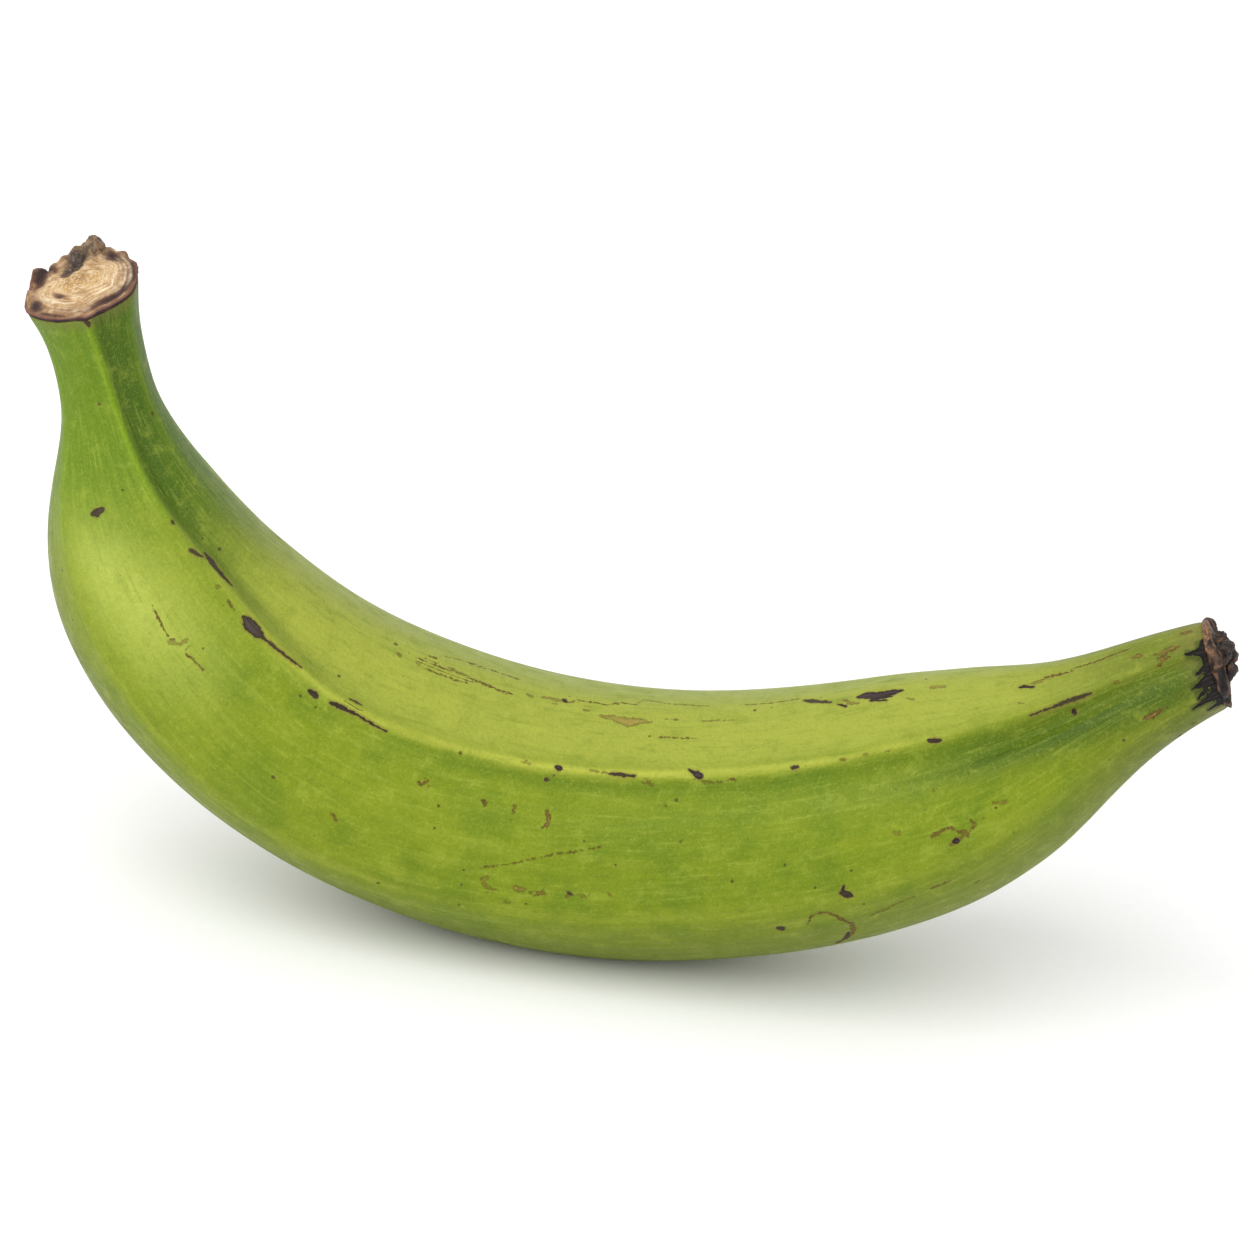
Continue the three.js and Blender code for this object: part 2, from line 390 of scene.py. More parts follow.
# %% Close the stem end
for edge in peel.data.edges:
    edge.select = all(v < COLUMNS for v in edge.vertices)
for vertex in peel.data.vertices:
    vertex.select = vertex.index < COLUMNS
for face in peel.data.polygons:
    face.select = False
bpy.ops.object.mode_set(mode="EDIT")
close_end(0, Vector(section(0.0)[1][0]))
bpy.ops.mesh.select_all(action="SELECT")
bpy.ops.mesh.normals_make_consistent(inside=False)
bpy.ops.object.mode_set(mode="OBJECT")
print("peel tube, closed:", len(peel.data.polygons), "faces")

# %% Smooth the tube
SMOOTH_LEVELS = 2

make_active(peel)
smoother = peel.modifiers.new("smoother", "SUBSURF")
smoother.levels = smoother.render_levels = SMOOTH_LEVELS
bpy.ops.object.modifier_apply(modifier=smoother.name)
print("peel:", len(peel.data.polygons), "faces")


# %% Helpers for a piece's points
def points_of(piece):
    """A piece's points, in mm."""
    flat = np.empty(3 * len(piece.data.vertices), np.float32)
    piece.data.vertices.foreach_get("co", flat)
    return flat.reshape(-1, 3).astype(float) / MM


def put_points(piece, points):
    piece.data.vertices.foreach_set("co", (points * MM).astype(np.float32).ravel())
    piece.data.update()


def keep_in_box(points):
    """Points in mm, held a hair inside the solid's box and on or above the floor."""
    hair = 0.02
    low, high = np.array(cad_box) / MM
    return np.clip(points, low + (hair, hair, 0), high - hair)


def vertex_normals(piece):
    flat = np.empty(3 * len(piece.data.vertices), np.float32)
    piece.data.vertices.foreach_get("normal", flat)
    return flat.reshape(-1, 3)


def add_field(piece, name, values):
    """Stores numbers on a piece's points, under a name that its material reads."""
    kinds = {1: ("FLOAT", "value"), 3: ("FLOAT_VECTOR", "vector"), 4: ("FLOAT_COLOR", "color")}
    values = np.asarray(values, np.float32)
    kind, slot = kinds[1 if values.ndim == 1 else values.shape[1]]
    piece.data.attributes.new(name, kind, "POINT").data.foreach_set(slot, values.ravel())


def noise_at(points):
    """Smooth noise from -1 to 1 at an array of places."""
    return np.array([noise.noise(Vector(point)) for point in points])


print("points of the peel:", len(points_of(peel)))

# %% [markdown]
# Pressing the ridges in
#
# Every point of the tube now gets its place on the fruit: how far along it lies, at what angle
# round the midline, and how far out. The formula gives the skin's distance there, and the point
# moves to it. No real skin is that even, so slow noise lets it sink by up to a third of a
# millimetre in wide shallow dimples, and finer noise, drawn out lengthwise, flutes it faintly.

# %% Places on the fruit
def follow_ridges(s, degrees):
    """Angles that stay the same along every ridge, however it drifts round the fruit."""
    lines = [along_ridge(ridge["angle"], s) for ridge in RIDGES.values()]
    home = [ridge["angle"][4] for ridge in RIDGES.values()]
    steady = np.zeros_like(s)
    for k in range(len(lines)):
        after = (k + 1) % len(lines)
        share = ((degrees - lines[k]) % 360) / ((lines[after] - lines[k]) % 360)
        steady = np.where(share <= 1, home[k] + ((home[after] - home[k]) % 360) * share, steady)
    return steady


tube = points_of(peel)
peel_s, peel_degrees, distance = fruit_places(tube)
steady = np.radians(follow_ridges(peel_s, peel_degrees))
straight = np.stack([HALF_THICKNESS * np.cos(steady), HALF_THICKNESS * np.sin(steady), LENGTH * peel_s], 1)
add_field(peel, "straight", straight * MM)
print("tube without ridges, widest, mm:", round(2 * distance.max(), 1))

# %% Ridges and unevenness
DIMPLE_SIZE = 19
DIMPLE_DEPTH = 0.3
FLUTE_SIZE = (2.6, 2.6, 45)
FLUTE_DEPTH = 0.1

dimples = DIMPLE_DEPTH * (noise_at(tube / DIMPLE_SIZE) - 1) / 2
flutes = FLUTE_DEPTH * noise_at(straight / FLUTE_SIZE)
skin = skin_radius(peel_s, peel_degrees)
slim = skin / HALF_THICKNESS
radius = distance / (HALF_THICKNESS * through(WIDTH, peel_s)) * (skin + slim * (dimples + flutes))
middle, forward, inner, front = section(peel_s)
to_front = radius * np.cos(np.radians(peel_degrees))
to_inner = radius * np.sin(np.radians(peel_degrees))
near_cut = ramp(peel_s, SLANT_FADES, 0)
near_scab = ramp(peel_s, 1 - SCAB_FADES, 1) ** 2
push = near_cut * (CUT_SLANT * to_front - CUT_LIFT) + near_scab * (SCAB_LIFT + SCAB_TILT * to_inner)
push += ((tube - middle) * forward).sum(1)
peel_points = middle + to_front[:, None] * front + to_inner[:, None] * inner + push[:, None] * forward
peel_points = keep_in_box(peel_points)
put_points(peel, peel_points)
print("peel box, mm:", peel_points.min(0).round(1), peel_points.max(0).round(1))

# %% [markdown]
# Scars and grazes
#
# Much of a plantain's look is damage: latex stains that dry black, scars where the fruit rubbed
# its neighbours in the bunch, brown grazes, and dots. Painting them by hand or scattering them at
# random would lose the likeness, so each is a short stroke of points read off the picture, with
# its width there. A stroke is carried onto the peel: the points near it in the picture say
# how far along the fruit and at what angle it lies. The hidden side gets strokes of its own, drawn
# by chance from a fixed seed, so that it is as worn as the front.
#
# The strokes are thinner than the mesh is fine, so they are not cut into it. Each point of the
# peel remembers instead how far it is from the nearest stroke, with a sign for the side. Between
# two points that number runs evenly through nought, so the material can draw a sharp thin line
# there. With it go how far inside the stroke's ends the point is, the stroke's half width, and a
# tone, which makes one scar darker than the next.

# %% Strokes in the picture
# Across, down and width, in pixels of the 1254-pixel picture
SCARS = [
    [(203, 551, 2), (211, 561, 10), (222, 575, 7), (234, 587, 1)],
    [(242, 615, 3), (250, 625, 12), (257, 632, 11), (265, 639, 2)],
    [(264, 638, 2), (278, 650, 3), (303, 669, 1)], [(308, 690, 2), (313, 694, 6), (318, 699, 2)],
    [(329, 702, 2), (338, 706, 5), (356, 714, 2), (372, 724, 2), (388, 732, 1)],
    [(350, 699, 2), (364, 706, 2)], [(189, 548, 3), (193, 553, 4), (203, 557, 1)],
    [(170, 521, 3), (175, 525, 4)], [(90, 515, 2), (97, 512, 8), (104, 508, 3)],
    [(544, 777, 2), (547, 779, 6), (551, 781, 2)], [(553, 767, 2), (557, 768, 6), (562, 769, 2)],
    [(608, 774, 1), (622, 775, 4), (637, 776, 1)],
    [(686, 768, 1), (692, 773, 3), (697, 775, 9), (704, 777, 3)],
    [(789, 768, 2), (794, 768, 4), (799, 767, 2)], [(560, 699, 2), (564, 700, 6), (568, 702, 2)],
    [(802, 700, 2), (812, 701, 7), (832, 702, 3)], [(836, 704, 2), (846, 707, 4)],
    [(857, 697, 3), (866, 695, 11), (880, 695, 12), (892, 692, 10), (904, 690, 2)],
    [(870, 701, 3), (888, 700, 2)], [(1017, 688, 2), (1026, 686, 5), (1036, 687, 1)],
    [(925, 741, 1), (933, 741, 5), (942, 740, 1)],
    [(1028, 716, 1), (1050, 708, 2), (1068, 701, 4), (1084, 696, 3), (1093, 692, 1)],
    [(1074, 709, 3), (1075, 714, 5)], [(843, 884, 1), (842, 893, 4), (846, 895, 9), (853, 897, 1)],
    [(776, 927, 3), (780, 929, 8), (784, 931, 2)], [(850, 931, 3), (845, 939, 6), (834, 944, 2)],
    [(951, 843, 3), (956, 841, 7), (960, 842, 2)], [(568, 892, 4), (573, 896, 3)],
    [(1204, 653, 9), (1199, 652, 7), (1194, 653, 4), (1189, 654, 3), (1183, 655, 1)],
    [(1205, 648, 3), (1199, 649, 2), (1195, 650, 1)], [(1203, 640, 1), (1204, 646, 3), (1204, 650, 3)],
    [(1206, 656, 7), (1208, 664, 8), (1210, 673, 9), (1214, 683, 9), (1219, 692, 8), (1222, 699, 5)],
    [(1208, 666, 7), (1203, 669, 6), (1198, 673, 3), (1194, 677, 1)],
    [(1212, 679, 12), (1206, 681, 10), (1201, 685, 6), (1196, 687, 3), (1191, 691, 1)],
    [(1208, 688, 5), (1203, 693, 4), (1199, 698, 2), (1196, 700, 1)],
    [(1217, 693, 12), (1210, 698, 10), (1202, 703, 5), (1196, 707, 3), (1191, 711, 1)],
    [(1221, 701, 6), (1214, 706, 4), (1206, 712, 1)], [(84, 319, 4), (88, 323, 5), (90, 328, 1)],
]
GRAZES = [
    [(541, 697, 2), (552, 699, 5), (562, 701, 4), (575, 703, 1)], [(527, 693, 3), (533, 697, 3)],
    [(842, 699, 2), (850, 703, 6), (860, 703, 2)], [(905, 698, 2), (914, 700, 3)],
    [(1028, 684, 2), (1038, 682, 4), (1046, 681, 1)], [(440, 655, 1), (461, 660, 1), (480, 668, 1)],
    [(470, 662, 1), (494, 671, 1), (520, 680, 1)], [(455, 672, 1), (478, 681, 1), (498, 690, 1)],
    [(574, 699, 1), (596, 703, 1), (614, 706, 1)], [(640, 699, 1), (670, 704, 1), (710, 706, 1)],
    [(740, 705, 1), (772, 703, 1), (800, 699, 1)], [(588, 770, 1), (604, 773, 1), (622, 775, 1)],
    [(700, 782, 1), (716, 782, 1), (727, 781, 1)], [(497, 690, 3), (503, 694, 2)],
    [(452, 668, 3), (461, 674, 3), (470, 677, 2)], [(1158, 660, 2), (1168, 652, 3), (1180, 646, 1)],
    [(1156, 668, 2), (1164, 661, 4), (1170, 655, 1)], [(505, 900, 2), (511, 904, 3)],
    [(533, 897, 3), (541, 893, 2)], [(566, 899, 3), (571, 893, 3)], [(688, 876, 2), (690, 878, 2)],
    [(704, 879, 3), (706, 880, 2)], [(726, 880, 2), (728, 881, 2)], [(683, 872, 2), (685, 873, 2)],
    [(807, 925, 1), (810, 917, 2), (817, 913, 3), (826, 912, 3), (836, 916, 3), (844, 920, 2),
     (852, 923, 3), (852, 930, 4), (848, 936, 4), (834, 945, 1)],
    [(870, 916, 2), (885, 909, 4), (900, 902, 2), (921, 894, 1)], [(927, 890, 2), (951, 881, 2)],
    [(929, 838, 1), (935, 835, 4), (941, 831, 2), (950, 828, 3), (957, 832, 2), (967, 832, 3),
     (975, 825, 2), (968, 819, 1)], [(967, 832, 2), (957, 841, 4), (948, 847, 2)],
    [(961, 876, 2), (968, 873, 2)], [(975, 883, 2), (981, 879, 1)],
    [(166, 641, 2), (172, 643, 5), (179, 645, 2), (185, 643, 5), (190, 639, 1)],
    [(172, 641, 1), (160, 622, 1), (152, 604, 1)], [(184, 652, 1), (195, 661, 2), (204, 670, 4)],
    [(227, 599, 1), (235, 612, 2)], [(216, 584, 3), (220, 589, 4)],
    [(547, 810, 2), (550, 818, 5), (548, 826, 4), (542, 829, 1)], [(514, 804, 3), (511, 814, 2)],
    [(482, 800, 2), (487, 804, 3), (482, 808, 2)],
    [(422, 776, 2), (427, 781, 2), (423, 785, 3), (418, 782, 2)], [(330, 811, 2), (338, 822, 3)],
    [(664, 803, 3), (664, 808, 3)],
    [(478, 868, 1), (500, 866, 1), (530, 860, 1), (554, 854, 1), (602, 847, 1)],
    [(678, 843, 1), (686, 838, 1)], [(491, 876, 3), (484, 881, 5), (488, 888, 4), (497, 890, 1)],
    [(512, 887, 5), (520, 890, 6), (527, 888, 2)], [(540, 892, 5), (547, 895, 2)],
    [(580, 894, 3), (587, 899, 4)], [(609, 893, 4), (615, 898, 2)],
    [(461, 930, 1), (490, 938, 2), (510, 944, 2), (528, 949, 1)],
    [(601, 717, 2), (613, 718, 9), (627, 722, 13), (641, 721, 8), (653, 722, 1)],
    [(606, 705, 1), (622, 703, 2), (639, 705, 1)], [(582, 710, 2), (591, 711, 3)],
    [(396, 653, 3), (402, 656, 4)], [(430, 656, 2), (437, 659, 3)], [(415, 662, 2), (421, 666, 3)],
    [(545, 703, 2), (553, 706, 3)], [(929, 687, 3), (938, 687, 7), (947, 686, 2)],
    [(1131, 648, 1), (1100, 660, 2), (1073, 669, 1)], [(1111, 684, 2), (1119, 681, 3)],
    [(1130, 658, 2), (1137, 656, 6), (1144, 655, 2)], [(1157, 661, 2), (1163, 659, 3)],
    [(1153, 656, 2), (1162, 652, 5), (1172, 648, 5), (1182, 646, 1)],
    [(1180, 634, 2), (1188, 632, 4), (1194, 631, 1)],
    [(1144, 719, 3), (1150, 717, 6), (1158, 712, 3), (1169, 706, 1)],
    [(990, 804, 1), (999, 803, 4), (1008, 802, 2)], [(893, 832, 3), (900, 834, 4)],
    [(641, 783, 2), (648, 784, 3), (655, 785, 2)], [(728, 779, 2), (738, 780, 1)],
    [(840, 760, 2), (849, 759, 2)], [(862, 755, 2), (869, 754, 2)], [(884, 752, 2), (891, 750, 1)],
    [(521, 763, 1), (527, 762, 3), (531, 766, 2)], [(663, 719, 1), (681, 720, 2)],
    [(700, 721, 1), (735, 720, 1)], [(659, 737, 1), (700, 738, 1)],
    [(415, 657, 1), (440, 667, 2), (458, 673, 1)], [(462, 676, 1), (488, 686, 2), (514, 695, 1)],
    [(424, 668, 1), (452, 679, 2), (470, 684, 1)], [(66, 630, 1), (85, 668, 1), (117, 714, 1)],
    [(94, 692, 2), (113, 716, 4), (134, 736, 1)], [(1017, 702, 1), (1024, 704, 2)],
    [(1040, 680, 2), (1052, 676, 3), (1073, 671, 1)],
]
DOTS = [
    (505, 902, 3), (534, 911, 3), (534, 921, 3), (639, 930, 3), (712, 942, 3), (741, 911, 3),
    (773, 907, 3), (599, 715, 3), (549, 704, 3), (984, 817, 3), (968, 773, 3), (926, 810, 3),
    (1043, 811, 3), (1013, 832, 3), (1110, 760, 3), (649, 776, 3), (575, 784, 3), (683, 875, 3),
    (705, 878, 3), (729, 878, 3), (649, 833, 3), (520, 833, 3), (510, 820, 4), (296, 682, 4),
    (321, 682, 3), (163, 447, 3), (312, 602, 3), (331, 614, 3), (369, 639, 3), (933, 790, 4),
    (806, 765, 3), (1184, 694, 4), (1194, 722, 4), (1180, 735, 4), (485, 893, 4), (556, 888, 3),
    (598, 890, 3), (630, 899, 3), (450, 742, 3), (471, 748, 3), (640, 701, 3), (700, 716, 3),
]
print("read off the picture:", len(SCARS), "scars,", len(GRAZES), "grazes,", len(DOTS), "dots")

# %% Carry the strokes onto the peel
NEAREST_POINTS = 4
NEAREST_BLUR = 0.3
TURNED_TO_EYE = -0.05
HIDDEN_DEGREES = (126, 288)
HIDDEN_SHARES = (0.1, 0.93)
HIDDEN_SEEDS = {"scars": 5, "grazes": 8}
# How many, and the widest half width in mm
HIDDEN_SCARS = (22, 0.7)
HIDDEN_GRAZES = (80, 0.35)

normals = vertex_normals(peel)
seen = np.flatnonzero(normals @ np.array(look) < TURNED_TO_EYE)
seen_pixels = seen_at(peel_points[seen] * MM)


def on_peel(stroke):
    """Turns a stroke's pixels into shares of the length, degrees, and half widths in mm."""
    placed = []
    for across, down, width in stroke:
        gap = np.hypot(*(seen_pixels - (across, down)).T)
        near = np.argpartition(gap, NEAREST_POINTS)[:NEAREST_POINTS]
        weight = 1 / (gap[near] + NEAREST_BLUR) ** 2
        weight /= weight.sum()
        at = seen[near]
        angle = peel_degrees[at[0]] + weight @ turned(peel_degrees[at] - peel_degrees[at[0]])
        placed.append((weight @ peel_s[at], angle, width / PIXELS_PER_MM / 2))
    return placed


def hidden_strokes(chance, how_many, widest):
    """Strokes by chance on the side that the picture doesn't show."""
    strokes = []
    for _ in range(how_many):
        s, angle = chance.uniform(*HIDDEN_SHARES), chance.uniform(*HIDDEN_DEGREES)
        long, lean = chance.uniform(0.3, 9) ** 1.1 / LENGTH, chance.uniform(-3, 3)
        wide = chance.uniform(0.12, widest)
        middle = (s + long / 2, angle + lean / 2, wide)
        strokes.append([(s, angle, wide * 0.4), middle, (s + long, angle + lean, 0.08)])
    return strokes


scar_strokes = [on_peel(stroke) for stroke in SCARS]
scar_strokes += hidden_strokes(random.Random(HIDDEN_SEEDS["scars"]), *HIDDEN_SCARS)
dot_strokes = [[(x - 1, y, width), (x + 1, y + 1, width)] for x, y, width in DOTS]
graze_strokes = [on_peel(stroke) for stroke in GRAZES + dot_strokes]
graze_strokes += hidden_strokes(random.Random(HIDDEN_SEEDS["grazes"]), *HIDDEN_GRAZES)
print(len(scar_strokes), "scars and", len(graze_strokes), "grazes")

# %% Measure the strokes
REACH = 5
FAR = 9
WIDEST_EDGE = 1.3


def measured(stroke, near):
    """For the points near a stroke: how far away it is, and three numbers: that distance with a sign
    for the side, how deep inside the stroke the point is, and half the stroke's width, in mm."""
    s, angle, half = np.array(stroke).T
    size = skin_radius(s, angle).mean()
    along = (peel_s[near] - s[0]) * LENGTH
    around = np.radians(turned(peel_degrees[near] - angle[0])) * skin[near]
    corner = np.stack([(s - s[0]) * LENGTH, np.radians(angle - angle[0]) * size], 1)
    lengths = np.hypot(*np.diff(corner, axis=0).T)
    nearest = np.full(len(near), float(FAR))
    found = np.zeros((len(near), 3))
    for k, length in enumerate(lengths):
        step = (corner[k + 1] - corner[k]) / length
        offset = np.stack([along, around], 1) - corner[k]
        forth = offset @ step
        held = np.clip(forth, 0, length)
        gap = np.hypot(*(offset - held[:, None] * step).T)
        side = np.sign(step[0] * offset[:, 1] - step[1] * offset[:, 0])
        past = lengths[:k].sum() + (forth if k in (0, len(lengths) - 1) else held)
        inside = np.minimum(past, lengths.sum() - past)
        width = half[k] + (half[k + 1] - half[k]) * held / length
        closer = gap < nearest
        nearest = np.where(closer, gap, nearest)
        found = np.where(closer[:, None], np.stack([side * gap, inside, width], 1), found)
    found[:, 1] = np.minimum(found[:, 1] + found[:, 2], found[:, 2] + WIDEST_EDGE - nearest)
    return nearest, found


def stroke_field(strokes, chance):
    """For each point of the peel, the nearest stroke's four numbers: as measured, and its tone."""
    field = np.tile([FAR, -FAR, 0.1, 0.5], (len(peel_s), 1))
    best = np.full(len(peel_s), float(FAR))
    for stroke in strokes:
        tone = chance.random()
        s, angle, _ = np.array(stroke).T
        spread = np.degrees(REACH / skin_radius(s, angle).mean()) + np.ptp(angle)
        close_by = (peel_s > s.min() - REACH / LENGTH) & (peel_s < s.max() + REACH / LENGTH)
        close_by &= np.abs(turned(peel_degrees - angle.mean())) < spread
        near = np.flatnonzero(close_by)
        nearest, found = measured(stroke, near)
        edge = nearest - found[:, 2]
        wins = edge < best[near]
        best[near[wins]] = edge[wins]
        field[near[wins]] = np.column_stack([found, np.full(len(near), tone)])[wins]
    return field


longest = max(np.ptp([s for s, _, _ in stroke]) for stroke in scar_strokes)
print("longest scar:", round(longest * LENGTH, 1), "mm")

# %% Store the strokes on the peel
TONE_SEEDS = {"scars": 3, "grazes": 4}
scar_field = stroke_field(scar_strokes, random.Random(TONE_SEEDS["scars"]))
graze_field = stroke_field(graze_strokes, random.Random(TONE_SEEDS["grazes"]))
add_field(peel, "scar_strokes", scar_field)
add_field(peel, "graze_strokes", graze_field)
print("points on a graze:", int((np.abs(graze_field[:, 0]) < graze_field[:, 2]).sum()))

# %% Sink the scars
SCAR_SINK = 0.14
SCAR_SLOPE = 0.3
SCAR_END_SLOPE = 0.5

away, ends, half, _ = scar_field.T
sunk = ramp(half - np.abs(away), 0, SCAR_SLOPE) * ramp(ends, 0, SCAR_END_SLOPE)
peel_points -= (SCAR_SINK * sunk)[:, None] * normals
peel_points = keep_in_box(peel_points)
put_points(peel, peel_points)
print("points inside a scar:", int((sunk > 0.5).sum()))

# %% [markdown]
# Zones of the skin
#
# The green is not one green. Ridge crests are paler and yellower, partly their own colour and partly
# a painted highlight along their lit edge. Painted shade lies in the step and the hollows beside the
# front ridge, the upper face is painted lighter as light falls on it from above, the top is greyer
# with a painted reflection, the belly is darker and greyer with painted shade and a painted
# reflection of the floor, and a painted sheen lies on the bulge. A lower band of the front face is a
# deeper green of its own. A mask for each of these is worked out from the same ridge lines that
# shaped the fruit, so colour and form agree. Each is a number from 0 to 1 at every point.

# %% Helpers for the zones
def from_ridge(ridge, offset=0):
    """Degrees from a line beside a ridge, for every point of the peel."""
    return turned(peel_degrees - along_ridge(RIDGES[ridge]["angle"], peel_s) - offset)


def beside(ridge, offset, spread, strength):
    """A stripe that runs beside a ridge, offset and spread in mm, with a strength along it."""
    gap = np.radians(from_ridge(ridge)) * skin - offset
    return bell(gap / spread) * np.clip(through(strength, peel_s), 0, 1)


def between(first, first_offset, last, last_offset, blur):
    """1 from one line to the next round the fruit, with soft edges, in degrees."""
    span = (along_ridge(RIDGES[last]["angle"], peel_s) + last_offset
            - along_ridge(RIDGES[first]["angle"], peel_s) - first_offset) % 360
    into = (from_ridge(first, first_offset) - span / 2 + 180) % 360 - 180
    return 1 / (1 + np.exp((np.abs(into) - span / 2) / blur))


# %% Zone masks
# Share of the length, and strength there
ALL_ALONG = [(0, 1), (1, 1)]
# The crest line is partly the ridge's own paler colour and partly a painted highlight
CREST = [(0, 0.5), (0.1, 0.6), (0.2, 0.6), (0.33, 0.7), (0.45, 1), (0.72, 1), (0.82, 0.4), (1, 0.1)]
# STEP, UNDER_RIDGE and GROOVE place painted shade beside the front ridge
STEP = [(0, 0), (0.34, 0), (0.45, 0.6), (0.75, 0.7), (0.88, 0.4), (1, 0)]
UNDER_RIDGE = [(0, 0), (0.66, 0), (0.74, 0.1), (0.8, 0.4), (0.85, 0.95), (0.9, 1), (1, 0.8)]
DEEP = [(0, 0), (0.48, 0), (0.56, 0.6), (0.6, 0.6), (0.66, 0.3), (0.7, 0), (1, 0)]
GROOVE = [(0, 1), (0.1, 1), (0.22, 0.8), (0.34, 0.35), (0.42, 0), (1, 0)]
# The last is a painted sheen: a pale highlight on the bulge below the neck
PAINTED_SHEEN = [(0, 0), (0.1, 0), (0.17, 1), (0.22, 0.85), (0.29, 0.1), (0.34, 0), (1, 0)]
# Pale crests on the other ridges, partly their own colour and partly a painted highlight
OTHER_CRESTS = {"belly": 0.25, "back": 0.5, "low": 0.4, "inner": 0.2, "keel": 0.2}

zones = {
    # Pale crest line, partly its own colour and partly a painted highlight
    "crest": beside("front", 0, 0.8, CREST),
    # Painted shade under the step of the front ridge
    "step": beside("front", -2.6, 1.5, STEP),
    # Painted shade in the hollow under the front ridge
    "under_ridge": beside("front", -5.5, 4, UNDER_RIDGE),
    "deep": beside("front", -14, 6, DEEP),
    # Painted shade in the groove above the front ridge
    "groove": beside("front", 3.4, 1.9, GROOVE),
    # Painted light: the upper face made lighter
    "upper": between("front", 2, "inner", 40, 2.5),
    # Painted reflection: the top greyer and paler
    "top": between("inner", 4, "back", 40, 6),
    # Painted shade and a painted reflection of the floor: the belly darker and greyer
    "belly": between("low", 30, "belly", -14, 5),
    # Painted sheen: a pale highlight on the bulge
    "bloom": beside("front", -15, 9, PAINTED_SHEEN),
}
for ridge, strength in OTHER_CRESTS.items():
    zones["crest"] = np.maximum(zones["crest"], strength * beside(ridge, 0, 1.1, ALL_ALONG))
for name, values in zones.items():
    add_field(peel, name, values)
    print(name, "mean", round(float(values.mean()), 2))

# %% Sharpen the front ridge
# Offset from the ridge and spread in mm, lift in mm, and how strong it is along the fruit
RIDGE_TOUCHES = [
    (0, 1.1, 0.28, [(0, 0.5), (0.2, 0.9), (0.75, 1), (0.9, 0.4), (1, 0)]),
    (-3.2, 1.6, -0.3, [(0, 0), (0.35, 0), (0.5, 0.8), (0.88, 1), (1, 0.2)]),
    (3.2, 1.6, -0.3, [(0, 0.9), (0.35, 0.7), (0.5, 0.1), (1, 0)]),
]
lift = sum(depth * beside("front", offset, spread, strength)
           for offset, spread, depth, strength in RIDGE_TOUCHES)
peel_points = keep_in_box(peel_points + lift[:, None] * vertex_normals(peel))
put_points(peel, peel_points)
print("front ridge lifted by up to", round(float(lift.max()), 2), "mm")

# %% [markdown]
# The cut stem
#
# The fruit was cut from its bunch with a knife and the last of it tore. The cut has dried: a low
# corky dome with arcs that follow the rim, a dark shrunken rim, and a torn lip of hard fibres at
# the back with a weathered hollow in front of it. It is built like clay: a lid of extruded rings,
# balls pressed on for the torn knobs, all fused by a voxel remesh, and the fine relief pushed in
# by formula, because only noise gives dry tissue its small lumps.

# %% Lids and knobs
LID_COLUMNS = 72
BALL_LEVELS = 3


def ringed_lid(name, s, plan, outwards):
    """A lid of rings square to the midline at s; the plan gives shares of the rim and mm outwards."""
    lid = start_ring(ring_width(s) * plan[0][0], s, LID_COLUMNS)
    lid.name = name
    bpy.ops.object.mode_set(mode="EDIT")
    bpy.ops.mesh.select_all(action="SELECT")
    bpy.ops.transform.translate(value=outwards * plan[0][1] * MM)
    bpy.ops.mesh.edge_face_add()
    for (share, height), (next_share, next_height) in zip(plan, plan[1:]):
        step = outwards * (next_height - height) * MM
        bpy.ops.mesh.extrude_region_move(TRANSFORM_OT_translate={"value": step})
        grow = next_share / share
        centre = point_at(s) + outwards * next_height * MM
        bpy.ops.transform.resize(value=(grow, grow, grow), center_override=centre)
    bpy.ops.mesh.select_all(action="SELECT")
    bpy.ops.mesh.normals_make_consistent(inside=False)
    bpy.ops.object.mode_set(mode="OBJECT")
    return lid


def join_to(piece):
    """Joins the form that was just made to a piece."""
    bpy.ops.object.transform_apply(location=True, rotation=True, scale=True)
    bpy.context.object.select_set(True)
    piece.select_set(True)
    bpy.context.view_layer.objects.active = piece
    bpy.ops.object.join()


def press_knobs(lid, s, knobs, outwards):
    """Adds balls to a lid, at an angle, a share of the rim and a height, with their three radii."""
    _, _, inner, front = section(float(s))
    inner, front = Vector(inner[0]), Vector(front)
    upright = Matrix((front, inner, outwards)).transposed().to_euler()
    for degrees, share, lift, size in knobs:
        angle = math.radians(degrees)
        reach = share * float(skin_radius(np.array([s]), np.array([degrees]))[0]) * MM
        place = point_at(s) + (front * math.cos(angle) + inner * math.sin(angle)) * reach
        deselect()
        bpy.ops.mesh.primitive_ico_sphere_add(subdivisions=BALL_LEVELS, radius=1, rotation=upright,
                                              location=place + outwards * lift * MM,
                                              scale=[r * MM for r in size])
        join_to(lid)


# %% Fusing, and places at the ends
VOXEL = 0.2
SMOOTHING_FACTOR = 0.5


def fuse(piece, smoothing):
    """Fuses overlapping closed forms into one even skin of small quads."""
    make_active(piece)
    remesh = piece.modifiers.new("fuse", "REMESH")
    remesh.mode = "VOXEL"
    remesh.voxel_size = VOXEL * MM
    bpy.ops.object.modifier_apply(modifier=remesh.name)
    smooth = piece.modifiers.new("soften", "SMOOTH")
    smooth.factor, smooth.iterations = SMOOTHING_FACTOR, smoothing
    bpy.ops.object.modifier_apply(modifier=smooth.name)
    print(piece.name, "fused:", len(piece.data.polygons), "faces")


